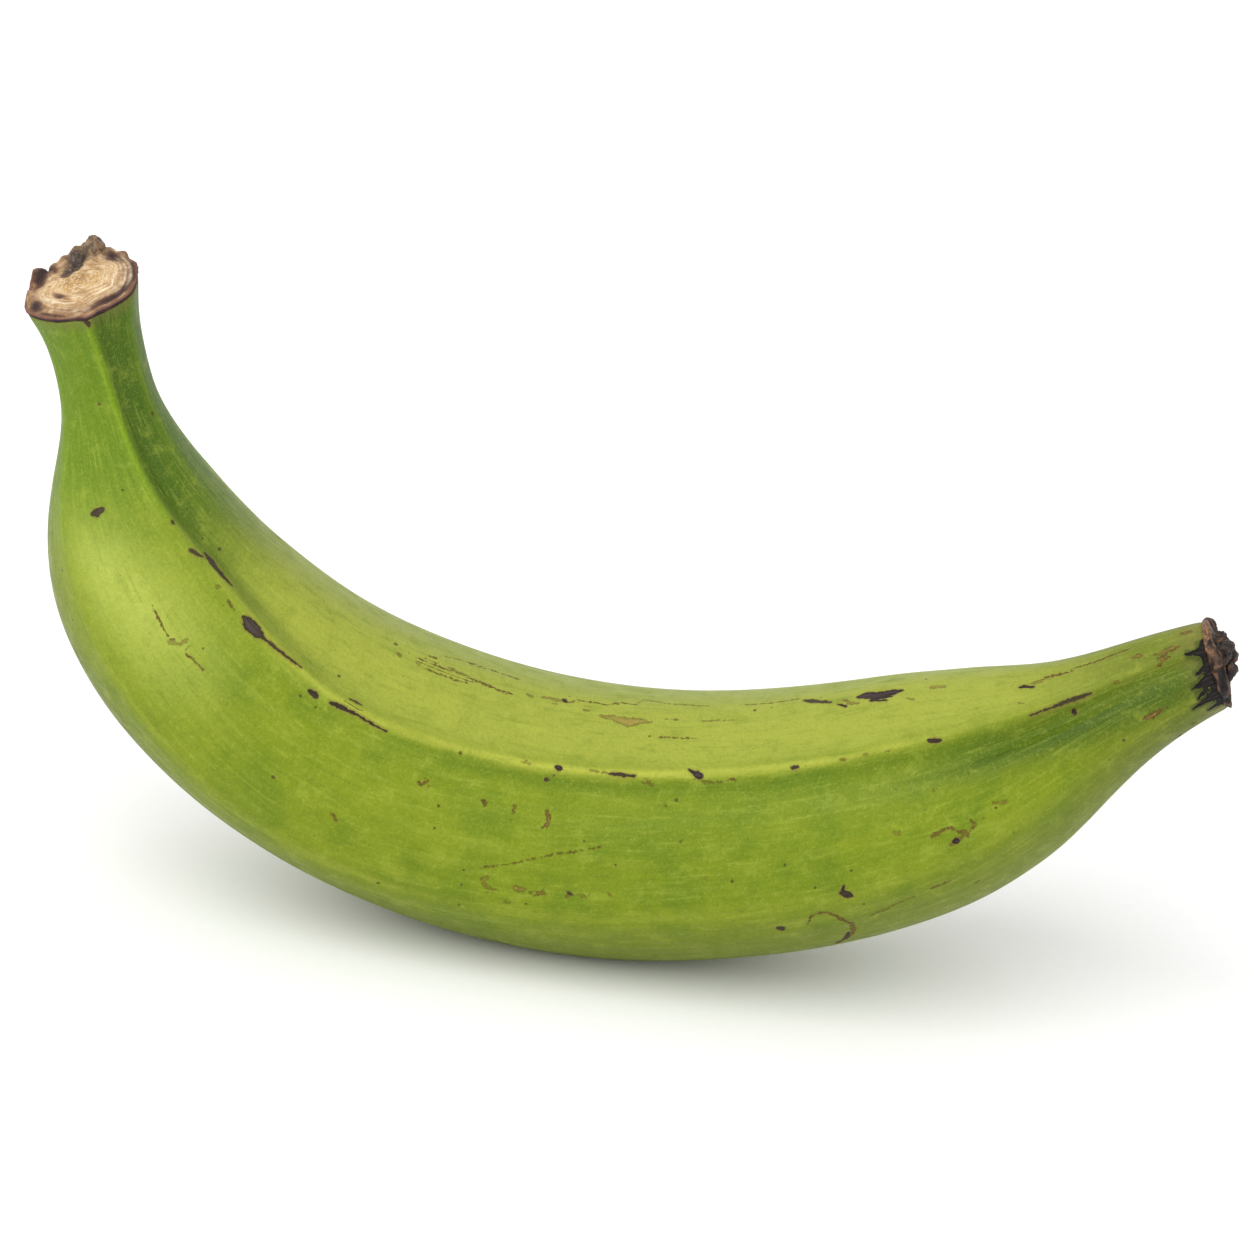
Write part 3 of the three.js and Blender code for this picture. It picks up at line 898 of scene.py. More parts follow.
def end_places(piece, s):
    """For a piece's points: mm to the front, to the inner side and forward along the fruit, the angle,
    the share of the rim, and how much wider than round the skin is at that angle."""
    middle, forward, inner, front = section(float(s))
    away = points_of(piece) - middle
    to_front, to_inner, onward = away @ front, away @ inner[0], away @ forward[0]
    angle = np.degrees(np.arctan2(to_inner, to_front))
    flute = skin_radius(np.full_like(angle, s), angle) / ring_width(s)
    return to_front, to_inner, onward, angle, np.hypot(to_front, to_inner) / ring_width(s), flute


def from_end(to_front, to_inner, onward, s):
    """Points from their mm to the front, to the inner side and forward."""
    middle, forward, inner, front = section(float(s))
    return middle + np.outer(to_front, front) + np.outer(to_inner, inner[0]) + np.outer(onward, forward[0])


# %% Lid of the cut
# Share of the rim, and mm outwards
CUT_LID = [(0.95, -0.8), (0.98, -0.3), (1, 0), (0.995, 0.25), (0.96, 0.4), (0.9, 0.6), (0.82, 0.95),
           (0.72, 1.3), (0.56, 1.5), (0.36, 1.65), (0.18, 1.7)]
# Angle, share of the rim, height, radii
CUT_KNOBS = [
    (167, 0.8, 2.4, (2.2, 2.1, 2.4)), (178, 0.86, 0.4, (2.1, 1.8, 3)), (189, 0.84, 0.4, (2.2, 1.9, 2.7)),
    (202, 0.82, 0.4, (2.2, 2, 2)), (217, 0.82, 0.4, (1.7, 1.7, 1.4)), (236, 0.92, 0.4, (1.9, 1.8, 1.8)),
    (249, 0.93, 0.4, (1.4, 1.3, 1.1)), (152, 0.84, 0.4, (2, 1.9, 1.9)), (268, 0.94, 0.4, (1.3, 1.8, 0.8)),
    (138, 0.88, 0.4, (2.4, 1.7, 1)), (230, 0.72, 0.4, (1.4, 1.2, 1.4)), (170, 0.62, 0.4, (1.8, 1.8, 2.2)),
]
CUT_SMOOTHING = 2

stem_out = -Vector(section(0.0)[1][0])
stem_cut = ringed_lid("stem_cut", 0, CUT_LID, stem_out)
press_knobs(stem_cut, 0, CUT_KNOBS, stem_out)
fuse(stem_cut, CUT_SMOOTHING)

# %% [markdown]
# Dressing the cut
#
# The round lid is first fluted like the neck below it, notched at the rim and dented beside the
# torn lip. Where it is torn or dented the tissue is rough, and the rest of the face is a fine even
# crumb. The same numbers that shape the arcs, the rim and the torn places are stored on the points,
# so that the material stains exactly those, and paints shade into the dents and a highlight on the
# raised bumps.

# %% Flutes, notches and hollows of the cut
# Angle, spread in degrees, depth
CUT_NOTCHES = [(226, 6, 0.8), (256, 9, 1.1), (3, 4, 0.7), (40, 8, 0.25), (335, 10, 0.2)]
# Angle, share of the rim, size, depth
CUT_HOLLOWS = [(187, 0.74, 2.1, 0.9), (201, 0.56, 1.8, 1), (215, 0.46, 1.4, 0.7)]
RIM_WAVES = 4.5
RIM_WAVE_SHARE = 0.016
RIM_WAVE_HEIGHT = 6

to_front, to_inner, onward, cut_angle, rim_share, flute = end_places(stem_cut, 0)
height = -onward
turn = np.radians(cut_angle)
round_rim = np.stack([np.cos(turn), np.sin(turn), onward / RIM_WAVE_HEIGHT], 1)
flute += RIM_WAVE_SHARE * noise_at(round_rim * RIM_WAVES) * ramp(height, -0.6, 0.4)
for angle, spread, depth in CUT_NOTCHES:
    flute -= depth / ring_width(0) * bell(turned(cut_angle - angle) / spread) * ramp(height, 0, 0.6)
to_front, to_inner = to_front * flute, to_inner * flute
in_hollow = np.zeros_like(height)
sink = np.zeros_like(height)
for angle, share, size, depth in CUT_HOLLOWS:
    reach = share * ring_width(0)
    gap = np.hypot(to_front - reach * math.cos(math.radians(angle)),
                   to_inner - reach * math.sin(math.radians(angle)))
    dent = bell(gap / size) * (height > 0)
    in_hollow = np.maximum(in_hollow, dent)
    sink = np.maximum(sink, depth * dent)
cut_place = np.stack([to_front, to_inner, onward], 1)
slanted = onward + CUT_SLANT * to_front - CUT_LIFT + sink
cut_points = from_end(to_front, to_inner, slanted, 0)
put_points(stem_cut, cut_points)
print("rim of the cut stands at", (flute.min() * ring_width(0)).round(1), "to",
      (flute.max() * ring_width(0)).round(1), "mm from its middle")

# %% Arcs and stains of the cut
# Angle, half spread, share of the rim, strength
ARCS = [(65, 50, 0.62, 1), (318, 34, 0.66, 1), (95, 45, 0.8, 0.7), (100, 40, 0.88, 0.6), (40, 40, 0.74, 0.4),
        (0, 30, 0.84, 0.3)]
ARC_WIDTH = 0.016
# Angle, spread, share of the rim, spread, strength
BROWNED = [
    (48, 34, 0.87, 0.07, 1), (100, 40, 0.93, 0.06, 0.8), (300, 12, 0.86, 0.1, 1), (238, 22, 0.85, 0.16, 1),
    (330, 22, 0.93, 0.04, 0.7), (140, 18, 0.8, 0.12, 0.8), (318, 20, 0.5, 0.08, 0.6),
]
WANDER_SIZE = 4
WANDER = 0.035
TORN_ABOVE = (1.9, 2.8)

rough = np.maximum(ramp(height, *TORN_ABOVE), in_hollow)
on_face = ramp(height, -0.1, 0.3) * (1 - rough)
wander = WANDER * noise_at(cut_place / WANDER_SIZE + 11)
arc_lines = np.zeros_like(height)
for angle, spread, share, strength in ARCS:
    near = ramp(np.abs(turned(cut_angle - angle)), spread, spread / 3) * strength
    arc_lines = np.maximum(arc_lines, near * bell((rim_share + wander - share) / ARC_WIDTH))
browned = np.zeros_like(height)
for angle, spread, share, width, strength in BROWNED:
    near = bell(turned(cut_angle - angle) / spread) * bell((rim_share + wander - share) / width)
    browned = np.maximum(browned, strength * near)
print("shares of the cut: torn", rough.mean().round(2), "and stained", browned.mean().round(2))

# %% Relief of the cut
# Size in mm, shift, depth on the face and how much deeper where it is torn, in mm
CUT_RELIEF = [(2.1, 0, 0.13, 0.42), (0.8, 7, 0.07, 0.16), ((0.45, 0.45, 2.5), 3, 0.05, 0.1)]
ARC_HEIGHT = 0.16
CURL_HEIGHT = 0.14
CURL_SHARE, CURL_WIDTH = 0.97, 0.02
THREAD_RADIUS = 6
CUT_RAISED = 0.3

curl = bell((rim_share - CURL_SHARE) / CURL_WIDTH) * ramp(height, -0.3, 0.7)
relief = sum((plain + more * rough) * noise_at(cut_place / size + shift)
             for size, shift, plain, more in CUT_RELIEF)
relief += ARC_HEIGHT * on_face * arc_lines + CURL_HEIGHT * curl
cut_points = keep_in_box(cut_points + relief[:, None] * vertex_normals(stem_cut))
put_points(stem_cut, cut_points)
across = (rim_share + 2 * wander) * ring_width(0)
thread_lines = np.stack([across, turn * THREAD_RADIUS, onward], 1)
add_field(stem_cut, "cut_place", cut_place * MM)
add_field(stem_cut, "round_arcs", thread_lines * MM)
cut_fields = {
    "weathered": rough, "hollowed": in_hollow, "browned": browned, "arc_lines": arc_lines * on_face,
    "rim_share": rim_share + wander * on_face, "rim_height": height, "raised": relief / CUT_RAISED,
}
for name, values in cut_fields.items():
    add_field(stem_cut, name, values)
print("cut stem box, mm:", cut_points.min(0).round(1), cut_points.max(0).round(1))

# %% [markdown]
# The flower scab
#
# A plantain's flower withers at the far end and leaves a crumpled collar of dry black tissue round
# a hard stub. It is made the same way as the cut: a lid of rings, a torus for the ring of cord-like
# tissue round it, lumps pressed on, and a remesh. Then it is crumpled. Dry skin stands up in sharp
# folds. Noise passes through nought along winding lines, so one minus its size has a sharp crest on
# each of them. Such folds are laid on in three sizes, with a fine grain on top. The collar is thin
# on its lower side and smooth on its upper one, where the peel still holds it.

# %% Lid, collar and stub
# Share of the rim, and mm outwards
SCAB_LID = [(0.95, -1), (0.985, -0.6), (1.02, -0.1), (1.02, 0.35), (0.97, 0.8), (0.85, 1), (0.6, 1), (0.3, 1)]
# Angle, share of the rim, height, radii
SCAB_KNOBS = [
    (78, 0.14, 1.7, (1.7, 2.1, 2.3)), (100, 0.3, 0.2, (4.2, 3.4, 2.2)), (35, 0.42, 0, (2.2, 4.4, 1.9)),
    (-30, 0.45, 0, (2, 4, 1.8)), (215, 0.5, 0, (3.6, 3, 1.6)), (91, 0.84, 0.3, (0.9, 0.8, 0.9)),
]
COLLAR = dict(share=0.95, thickness=0.75, height=0.35)
SCAB_SMOOTHING = 4

scab_out = Vector(section(1.0)[1][0])
flower_scab = ringed_lid("flower_scab", 1, SCAB_LID, scab_out)
deselect()
bpy.ops.mesh.primitive_torus_add(major_radius=COLLAR["share"] * ring_width(1) * MM, major_segments=64,
                                 minor_radius=COLLAR["thickness"] * MM, minor_segments=12,
                                 location=point_at(1) + scab_out * COLLAR["height"] * MM,
                                 rotation=(0, math.pi / 2 - first_heading(1), 0))
join_to(flower_scab)
press_knobs(flower_scab, 1, SCAB_KNOBS, scab_out)
fuse(flower_scab, SCAB_SMOOTHING)

# %% Shape the scab
LOWER_THINNER = 0.9
UPPER_THINNER = 0.35

to_front, to_inner, onward, scab_angle, rim_share, flute = end_places(flower_scab, 1)
scab_place = np.stack([to_front, to_inner, onward], 1)
lower_side = ramp(to_inner / ring_width(1), 0, -1)
upper_side = ramp(to_inner / ring_width(1), 0.55, 0.95)
thinner = np.where(onward > 0, 1 - LOWER_THINNER * lower_side**1.5 - UPPER_THINNER * upper_side, 1)
onward = onward * thinner + SCAB_LIFT + SCAB_TILT * to_inner
put_points(flower_scab, from_end(to_front * flute, to_inner * flute, onward, 1))
print("scab stands out by", round(float(onward.max()), 1), "mm")

# %% Crumple the scab
FOLD_DEPTH = 0.85
WRINKLE_DEPTH = 0.26
PLEAT_DEPTH = 0.22
GRAIN_DEPTH = 0.13
WARP = 0.9
WARP_SIZE = 2.8
LEAST_CRUMPLE = 0.15
LOWER_SMOOTHER = 0.45
UPPER_SMOOTHER = 0.65
SCAB_RAISED = 0.4
TORN_ANGLE, TORN_SPREAD = 68, 34


def creased(places, level):
    """Noise turned into folds: a sharp crest where it passes through nought, less a level."""
    return 1 - 2 * np.abs(noise_at(places)) - level


warped = scab_place + WARP * noise_at(scab_place / WARP_SIZE)[:, None]
pleat_lines = np.stack([scab_angle / 9, rim_share * 2, onward / 3], 1)
crumple = FOLD_DEPTH * creased(warped / (2.0, 4.6, 2.2) + 2, 0.45)
crumple += WRINKLE_DEPTH * creased(warped / (0.9, 1.9, 0.9) + 7, 0.4)
crumple += PLEAT_DEPTH * creased(pleat_lines, 0.4) * ramp(rim_share, 0.5, 1)
crumple += GRAIN_DEPTH * noise_at(scab_place / 0.7 + 5)
outside = np.clip((onward - SCAB_LIFT + 0.6) / 0.8, LEAST_CRUMPLE, 1)
outside *= 1 - LOWER_SMOOTHER * lower_side - UPPER_SMOOTHER * upper_side
scab_points = points_of(flower_scab) + (crumple * outside)[:, None] * vertex_normals(flower_scab)
scab_points = keep_in_box(scab_points)
put_points(flower_scab, scab_points)
add_field(flower_scab, "scab_place", scab_place * MM)
torn_side = bell(turned(scab_angle - TORN_ANGLE) / TORN_SPREAD) * ramp(rim_share, 0.82, 0.94)
add_field(flower_scab, "raised", crumple / SCAB_RAISED)
add_field(flower_scab, "torn_side", torn_side)
print("scab box, mm:", scab_points.min(0).round(1), scab_points.max(0).round(1))

# %% Smooth shading
for piece in (peel, stem_cut, flower_scab):
    make_active(piece)
    bpy.ops.object.shade_smooth()
print("shaded smooth: 3 pieces")

# %% [markdown]
# Helpers for the materials
#
# A material is a small net of nodes. Colours are picked as sRGB hex values, as a painter would read
# them from a chart, and one function turns them to the linear values that light is reckoned in. One
# more function adds a node with its settings and links, and hands back the output that is wanted.
#
# Each finish is then a table of layers, as a painter lays glazes. A layer is a colour and the
# places where it shows: the product of masks, soft steps of patterns, and plain strengths. The
# patterns and masks of a material are kept by name, and the layers name them.

# %% Colour and node helpers
MILLI = 1 / MM


def colour(hexed):
    """An sRGB hex colour as linear red, green, blue and alpha."""
    parts = [int(hexed[k:k + 2], 16) / 255 for k in (1, 3, 5)]
    return [c / 12.92 if c <= 0.04045 else ((c + 0.055) / 1.055) ** 2.4 for c in parts] + [1]


def add(tree, kind, inputs=None, out=0, **settings):
    """Adds a node with its settings, sets or links its inputs, and returns one output."""
    made = tree.nodes.new("ShaderNode" + kind)
    for name, value in settings.items():
        setattr(made, name, value)
    for key, value in (inputs or {}).items():
        if isinstance(value, bpy.types.NodeSocket):
            tree.links.new(value, made.inputs[key])
        else:
            made.inputs[key].default_value = value
    return made.outputs[out]


print("a middle green, linear:", [round(part, 3) for part in colour("#74840e")])


# %% Begin and end a material
def new_material(name, noises, fields=(), **sockets):
    """A material, its tree, and its patterns and fields by name. The noises are grouped by the places
    that they read. Sockets of the shader that are the same all over are set here."""
    material = bpy.data.materials.new(name)
    material.use_nodes = True
    tree = material.node_tree
    for socket, value in sockets.items():
        tree.nodes["Principled BSDF"].inputs[socket.replace("_", " ")].default_value = value
    found = {field: add(tree, "Attribute", out=2, attribute_name=field) for field in fields}
    for places, patterns in noises.items():
        found[places] = (add(tree, "TexCoord", out=3) if places == "own"
                         else add(tree, "Attribute", out=1, attribute_name=places))
        for pattern, (size, detail, rough) in patterns.items():
            scale = [MILLI / length for length in (size if isinstance(size, tuple) else [size] * 3)]
            at = add(tree, "Mapping", {"Vector": found[places], "Scale": scale})
            found[pattern] = add(tree, "TexNoise", {"Vector": at, "Scale": 1, "Detail": detail,
                                                    "Roughness": rough})
    return material, tree, found


def put_on(piece, material, base, rough=None, relief=None, strength=1.0):
    """Links a material's colour, roughness and relief (in mm), and puts it on a piece."""
    tree = material.node_tree
    linked = {"Base Color": base}
    if rough:
        bump = add(tree, "Bump", {"Height": relief, "Distance": MM, "Strength": strength})
        linked |= {"Roughness": rough, "Normal": bump}
    for socket, value in linked.items():
        tree.links.new(value, tree.nodes["Principled BSDF"].inputs[socket])
    piece.data.materials.append(material)
    print(material.name, "has", len(tree.nodes), "nodes")


# %% Places, sums and layers
def where(tree, found, *parts):
    """The product of parts. Each is a number, the name of a found output, or a soft step of one,
    as (name, low, high), with what it gives below low and above high where that isn't 0 and 1."""
    product = None
    for part in parts:
        if isinstance(part, tuple):
            name, low, high, *ends = part
            least, most = ends or (0, 1)
            part = add(tree, "MapRange", {0: found[name], 1: low, 2: high, 3: least, 4: most},
                       interpolation_type="SMOOTHSTEP")
        elif isinstance(part, str):
            part = found[part]
        product = part if product is None else add(tree, "Math", {0: product, 1: part}, operation="MULTIPLY")
    return product


def weighed(tree, found, start, *terms):
    """A sum: the start, and each found output of (name, weight) times its weight."""
    total = found.get(start, start) if isinstance(start, str) else start
    for name, weight in terms:
        total = add(tree, "Math", {0: found[name], 1: weight, 2: total}, operation="MULTIPLY_ADD")
    return total


def layered(tree, found, base, *layers):
    """Lays colours over a base. A layer is a hex colour or a found colour's name, and its places."""
    below = found[base] if base in found else colour(base)
    for top, *parts in layers:
        top = found[top] if top in found else colour(top)
        below = add(tree, "Mix", {0: where(tree, found, *parts), 6: below, 7: top}, out=2, data_type="RGBA")
    return below


# %% [markdown]
# Green plantain peel
#
# The peel is a thick living skin with a film of natural wax, so its gloss is satin: broad soft
# highlights and no mirror. Under the wax long bundles of fibre run from stem to tip, and they tint
# the green in streaks a few millimetres wide and many centimetres long. The streaks read the
# "straight" places, which are the fruit as if it were a straight even cylinder, so they follow the
# ridges. Blotches, leathery grain and specks read the peel's own places.

# %% Peel: streaks and grain
# Size in mm (or sizes across, across and along the fruit), and the noise's detail and roughness
PEEL_NOISES = {
    "straight": {
        "bands": ((10, 10, 70), 2, 0.6), "streaks": ((2.4, 2.4, 24), 3, 0.6),
        "fibres": ((0.5, 0.5, 7), 3, 0.6), "weave": ((5, 5, 0.6), 2, 0.6), "dashes": ((1.1, 1.1, 9), 4, 0.6),
    },
    "own": {
        "patch": (13, 4, 0.6), "mottle": (4, 5, 0.65), "torn": (0.9, 4, 0.7), "leather": (0.7, 3, 0.6),
        "speck": (0.32, 2, 0.6),
    },
}
peel_paint, tree, found = new_material("green_plantain_peel", PEEL_NOISES, zones, IOR=1.45,
                                       Specular_IOR_Level=0.22)
metres = add(tree, "SeparateXYZ", {0: found["straight"]}, out=2)
found["along"] = add(tree, "Math", {0: metres, 1: MILLI}, operation="MULTIPLY")
print("peel patterns:", ", ".join(found))

# %% [markdown]
# The greens
#
# The base is the middle green of the front face. Over it come broad bands and patches and the
# zones, with their painted light, shade, reflection and sheen, then the neck and the flower end,
# which stayed greener and duller, then the ridge lines, with painted shade beside the front ridge
# and a painted highlight on the crests, and last the fine patterns: first the long streaks, then
# ever smaller mottling, light and dark.

# %% Peel: greens
NECK = ("along", 0.19 * LENGTH, 0.09 * LENGTH)
FLOWER_END = ("along", 0.86 * LENGTH, 0.97 * LENGTH)
found["skin"] = layered(
    tree, found, "#74840e",
    # Bands, patches and the zones of the skin, where light, shade, reflection and sheen are painted
    ("#657a08", ("bands", 0.4, 0.65, 0, 0.6)),
    ("#536e06", ("patch", 0.46, 0.66, 0, 0.5)),
    # Painted shade and a painted reflection of the floor: the belly darker and greyer
    ("#68741c", "belly", 0.7),
    # Painted light: the upper face lighter
    ("#989f3a", "upper", 0.85),
    # Painted reflection: the top greyer and paler
    ("#8a9442", "top", 0.7),
    # Painted sheen: a pale highlight on the bulge
    ("#b0ba54", "bloom", ("mottle", 0.3, 0.6, 0.5, 0.8)),
    # Neck and flower end
    ("#54740e", NECK, 0.8),
    ("#3e5c08", "upper", ("along", 0.29 * LENGTH, 0.12 * LENGTH, 0, 0.9)),
    ("#545f0d", FLOWER_END, 0.75),
    # Painted shade beside the front ridge, a deeper green of the front face, and the crests with a painted
    # highlight
    # Painted shade in the hollow under the front ridge
    ("#2e4a02", "under_ridge", ("streaks", 0.35, 0.6, 0.7, 1)),
    ("#5c7204", "deep", 0.75),
    # Painted shade under the step of the front ridge
    ("#4c6804", "step", 0.8),
    # Painted shade in the groove above the front ridge, deepest in the neck
    ("#244202", "groove", NECK, 0.95),
    ("#446010", "groove", 0.6),
    # Pale crests, partly their own colour and partly a painted highlight
    ("#a4a93c", "crest", ("streaks", 0.35, 0.62, 0.45, 1), ("along", 0.1 * LENGTH, 0.3 * LENGTH)),
    ("#7a9a08", "crest", NECK, 0.85),
    # Streaks, mottling and grain, light and dark
    ("#9aa53a", ("streaks", 0.5, 0.7, 0, 0.16)),
    ("#a8b246", ("dashes", 0.54, 0.7, 0, 0.2)),
    ("#4c680a", ("dashes", 0.46, 0.32, 0, 0.24)),
    ("#8c9834", ("fibres", 0.5, 0.75, 0, 0.14)),
    ("#4e6808", ("mottle", 0.5, 0.7, 0, 0.22)),
    ("#a0aa3c", ("mottle", 0.48, 0.3, 0, 0.24)),
    ("#4e680a", ("leather", 0.52, 0.72, 0, 0.18)),
    ("#a6b044", ("leather", 0.48, 0.3, 0, 0.15)),
    ("#4a620a", ("speck", 0.52, 0.7, 0, 0.14)),
    ("#a6b04a", ("speck", 0.48, 0.32, 0, 0.13)),
)
print("peel greens:", len(tree.nodes), "nodes so far")

# %% [markdown]
# Scars on the peel
#
# Each stroke is drawn where its half width is greater than the distance from its line. A little
# noise is added to the distance first, so that no edge is smooth. Latex scars are purple-black with
# a greyer middle, and grazes are brown, with a paler middle where they are wide. Corky dots that
# are too small for strokes come from a cell pattern, and only some of its cells carry one. At both
# ends the peel has dried: a dark line runs round the cut, and black tongues creep in from the
# flower, with a soft dark shade round them.

# %% Peel: shapes of the marks
ROUGH_EDGE = {"graze_strokes": 0.8, "scar_strokes": 0.42}
# Field, how much wider than the stroke and how soft its edge is, in mm
STROKE_MARKS = {
    "graze": ("graze_strokes", 0.02, 0.12), "graze_middle": ("graze_strokes", -0.5, 0.25),
    "scar": ("scar_strokes", 0, 0.07), "scar_middle": ("scar_strokes", -0.35, 0.3),
    "halo": ("scar_strokes", 0.3, 0.3), "scar_shade": ("scar_strokes", 0.9, 1),
}
found["edge_noise"] = where(tree, found, ("torn", 0.2, 0.8, -0.5, 0.5))
for field in ROUGH_EDGE:
    found[field + "_tone"] = add(tree, "Attribute", out=3, attribute_name=field)
for mark, (field, spread, soft) in STROKE_MARKS.items():
    stored = add(tree, "Attribute", out=0, attribute_name=field)
    gap, found["ends"], half = [add(tree, "SeparateColor", {0: stored}, out=k) for k in range(3)]
    gap = add(tree, "Math", {0: gap}, operation="ABSOLUTE")
    ragged = weighed(tree, found, gap, ("edge_noise", ROUGH_EDGE[field]))
    found["inside"] = where(tree, found, ("ends", -0.1, 0.7))
    width = add(tree, "Math", {0: half, 1: found["inside"], 2: spread}, operation="MULTIPLY_ADD")
    found["depth"] = add(tree, "Math", {0: width, 1: ragged}, operation="SUBTRACT")
    found[mark] = where(tree, found, ("depth", -soft, soft), "inside")
print("peel strokes:", len(tree.nodes), "nodes so far")

# %% Peel: corky dots and dried ends
DOT_SPACING = 3.1
cells, cell_colour = [add(tree, "TexVoronoi", {"Vector": found["own"], "Scale": MILLI / DOT_SPACING}, out=k)
                      for k in (0, 1)]
found["chance"] = weighed(tree, found, add(tree, "SeparateColor", {0: cell_colour}, out=0), ("crest", 0.3))
dot_size = where(tree, found, ("chance", 0.66, 1.1, 0.02, 0.15))
from_dot = weighed(tree, found, cells, ("torn", 0.12))
found["dots"] = add(tree, "Math", {0: dot_size, 1: from_dot}, operation="SUBTRACT")
found["near_cut"] = weighed(tree, found, "along", ("mottle", 2.4))
found["by_the_cut"] = weighed(tree, found, "along", ("fibres", -9))
found["feather"] = weighed(tree, found, "along", ("streaks", 8))
found["tip_black"] = where(tree, found, ("feather", LENGTH + 4.2, LENGTH + 5.4))
print("peel marks:", len(tree.nodes), "nodes so far")

# %% Peel: colours of the marks
BODY = ("along", 0.985 * LENGTH, 0.95 * LENGTH)
BY_FLOWER = ("along", 0.95 * LENGTH, 0.985 * LENGTH)
found["graze_brown"] = layered(
    tree, found, "#583a14",
    ("#7c5c2e", ("torn", 0.45, 0.6)),
    ("#3a2414", ("speck", 0.52, 0.62, 0, 0.6)),
)
marked = layered(
    tree, found, "skin",
    # Dots, and the brown tinge at both ends
    ("#463618", ("dots", -0.075, -0.045), 0.8),
    ("#6f6a36", ("by_the_cut", -1, -3.5), 0.5),
    ("#6b6033", ("feather", LENGTH - 3, LENGTH + 2), 0.4),
    # Grazes, then latex scars with their halo and middle
    ("graze_brown", ("graze_strokes_tone", 0, 1, 0.5, 0.9), "graze"),
    ("#9a8a44", "graze_middle", ("torn", 0.3, 0.6, 0.9, 0.5)),
    ("#74652c", "halo", BODY, 0.6),
    ("#38420c", "scar_shade", BY_FLOWER, 0.8),
    ("#251a18", ("scar_strokes_tone", 0, 1, 0.85, 1), "scar"),
    ("#554848", "scar_middle", BODY, ("fibres", 0.35, 0.6), 0.5),
    # Black tongues by the flower, and both dried ends
    ("#120d0d", "scar", BY_FLOWER),
    ("#4c423c", "scar_middle", BY_FLOWER, ("fibres", 0.5, 0.62, 0, 0.5)),
    ("#33221f", ("near_cut", 1.9, 1.2)),
    ("#150f0f", "tip_black"),
)
print("peel colours:", len(tree.nodes), "nodes so far")

# %% Peel: gloss and fine relief
scarred = add(tree, "Math", {0: found["graze"], 1: found["tip_black"]}, operation="MAXIMUM")
found["damage"] = add(tree, "Math", {0: found["scar"], 1: scarred}, operation="MAXIMUM")
satin = where(tree, found, ("mottle", 0.3, 0.7, 0.44, 0.54))
rough = weighed(tree, found, satin, ("damage", 0.18))
relief = weighed(tree, found, 0, ("streaks", 0.12), ("fibres", 0.06), ("weave", 0.03), ("leather", 0.26),
                 ("damage", -0.12))
put_on(peel, peel_paint, marked, rough, relief, 0.85)

# %% [markdown]
# Dried cut tissue
#
# The cut face is dry parenchyma, a cream foam of dead cells that feels like cork, crossed by arcs
# where the fibre bundles end. It has no gloss at all. Its rim shrank and stained purple-brown, and
# the torn knobs weathered grey, with painted shade in the hollow beside them and a painted highlight
# on their raised bumps. The threads read the face unrolled about its middle, so that they
# run round it as the fibres do.

# %% Cut stem material
# Size in mm (or sizes across, round and out of the face), and the noise's detail and roughness
CUT_NOISES = {
    "cut_place": {"crumb": (0.55, 4, 0.7), "blotch": (2.2, 4, 0.65), "stain": (5, 3, 0.6)},
    "round_arcs": {"threads": ((0.34, 2.6, 3), 5, 0.7)},
}
cut_paint, tree, found = new_material("dried_cut_tissue", CUT_NOISES, cut_fields, IOR=1.4,
                                      Specular_IOR_Level=0.25)
cut_colour = layered(
    tree, found, "#c6a57b",
    # Pith, stained, with threads of fibre
    ("#b0893f", ("rim_share", 0.5, 0.15, 0, 0.7)),
    ("#9c7545", ("stain", 0.45, 0.6, 0, 0.7)),
    ("#e8d8b8", ("threads", 0.46, 0.62, 0, 0.6)),
    ("#7c5836", ("threads", 0.46, 0.34, 0, 0.45)),
    # Towards the rim, and where sap dried brown
    ("#806048", ("rim_share", 0.6, 0.85), ("blotch", 0.35, 0.6, 0.3, 0.85)),
    ("#94704c", ("blotch", 0.5, 0.68, 0, 0.5)),
    ("#5a4236", ("browned", 0.1, 0.5), ("blotch", 0.3, 0.6, 0.6, 0.95)),
    ("#32262a", ("browned", 0.4, 0.9), ("threads", 0.35, 0.55, 0.5, 0.95)),
    # Pale arcs and crumbs
    ("#ebdfc4", "arc_lines", ("blotch", 0.65, 0.4, 0.4, 0.95)),
    ("#6e4d33", ("crumb", 0.55, 0.72, 0, 0.55)),
    # Torn knobs and hollow, weathered grey, with painted shade in the hollow and a painted highlight on
    # raised bumps
    ("#7d654a", ("weathered", 0.05, 0.5), 0.7),
    ("#5c5049", ("weathered", 0.25, 0.9), ("blotch", 0.4, 0.6, 0.1, 0.9)),
    ("#352b27", ("weathered", 0.2, 0.8), ("crumb", 0.5, 0.66, 0, 0.6)),
    # Painted shade: darker crumbs in the hollow
    ("#423a37", ("hollowed", 0.2, 0.7), ("crumb", 0.3, 0.6, 0.5, 0.95)),
    ("#857d74", ("hollowed", 0.3, 0.9), ("blotch", 0.55, 0.7, 0, 0.8)),
    # Painted highlight: paler on the raised bumps of the torn knobs
    ("#9c8a6c", ("weathered", 0.3, 1), ("raised", 0.5, 1.5, 0, 0.6)),
    # Shrunken edge
    ("#704c40", ("rim_share", 0.95, 0.975, 0, 0.85)),
    ("#35262a", ("rim_height", 0.3, 0.05), ("blotch", 0.3, 0.6, 0.8, 1)),
)
rough = where(tree, found, ("crumb", 0.3, 0.7, 0.75, 0.95))
relief = weighed(tree, found, 0, ("threads", 0.15), ("crumb", 0.3))
put_on(stem_cut, cut_paint, cut_colour, rough, relief, 0.8)

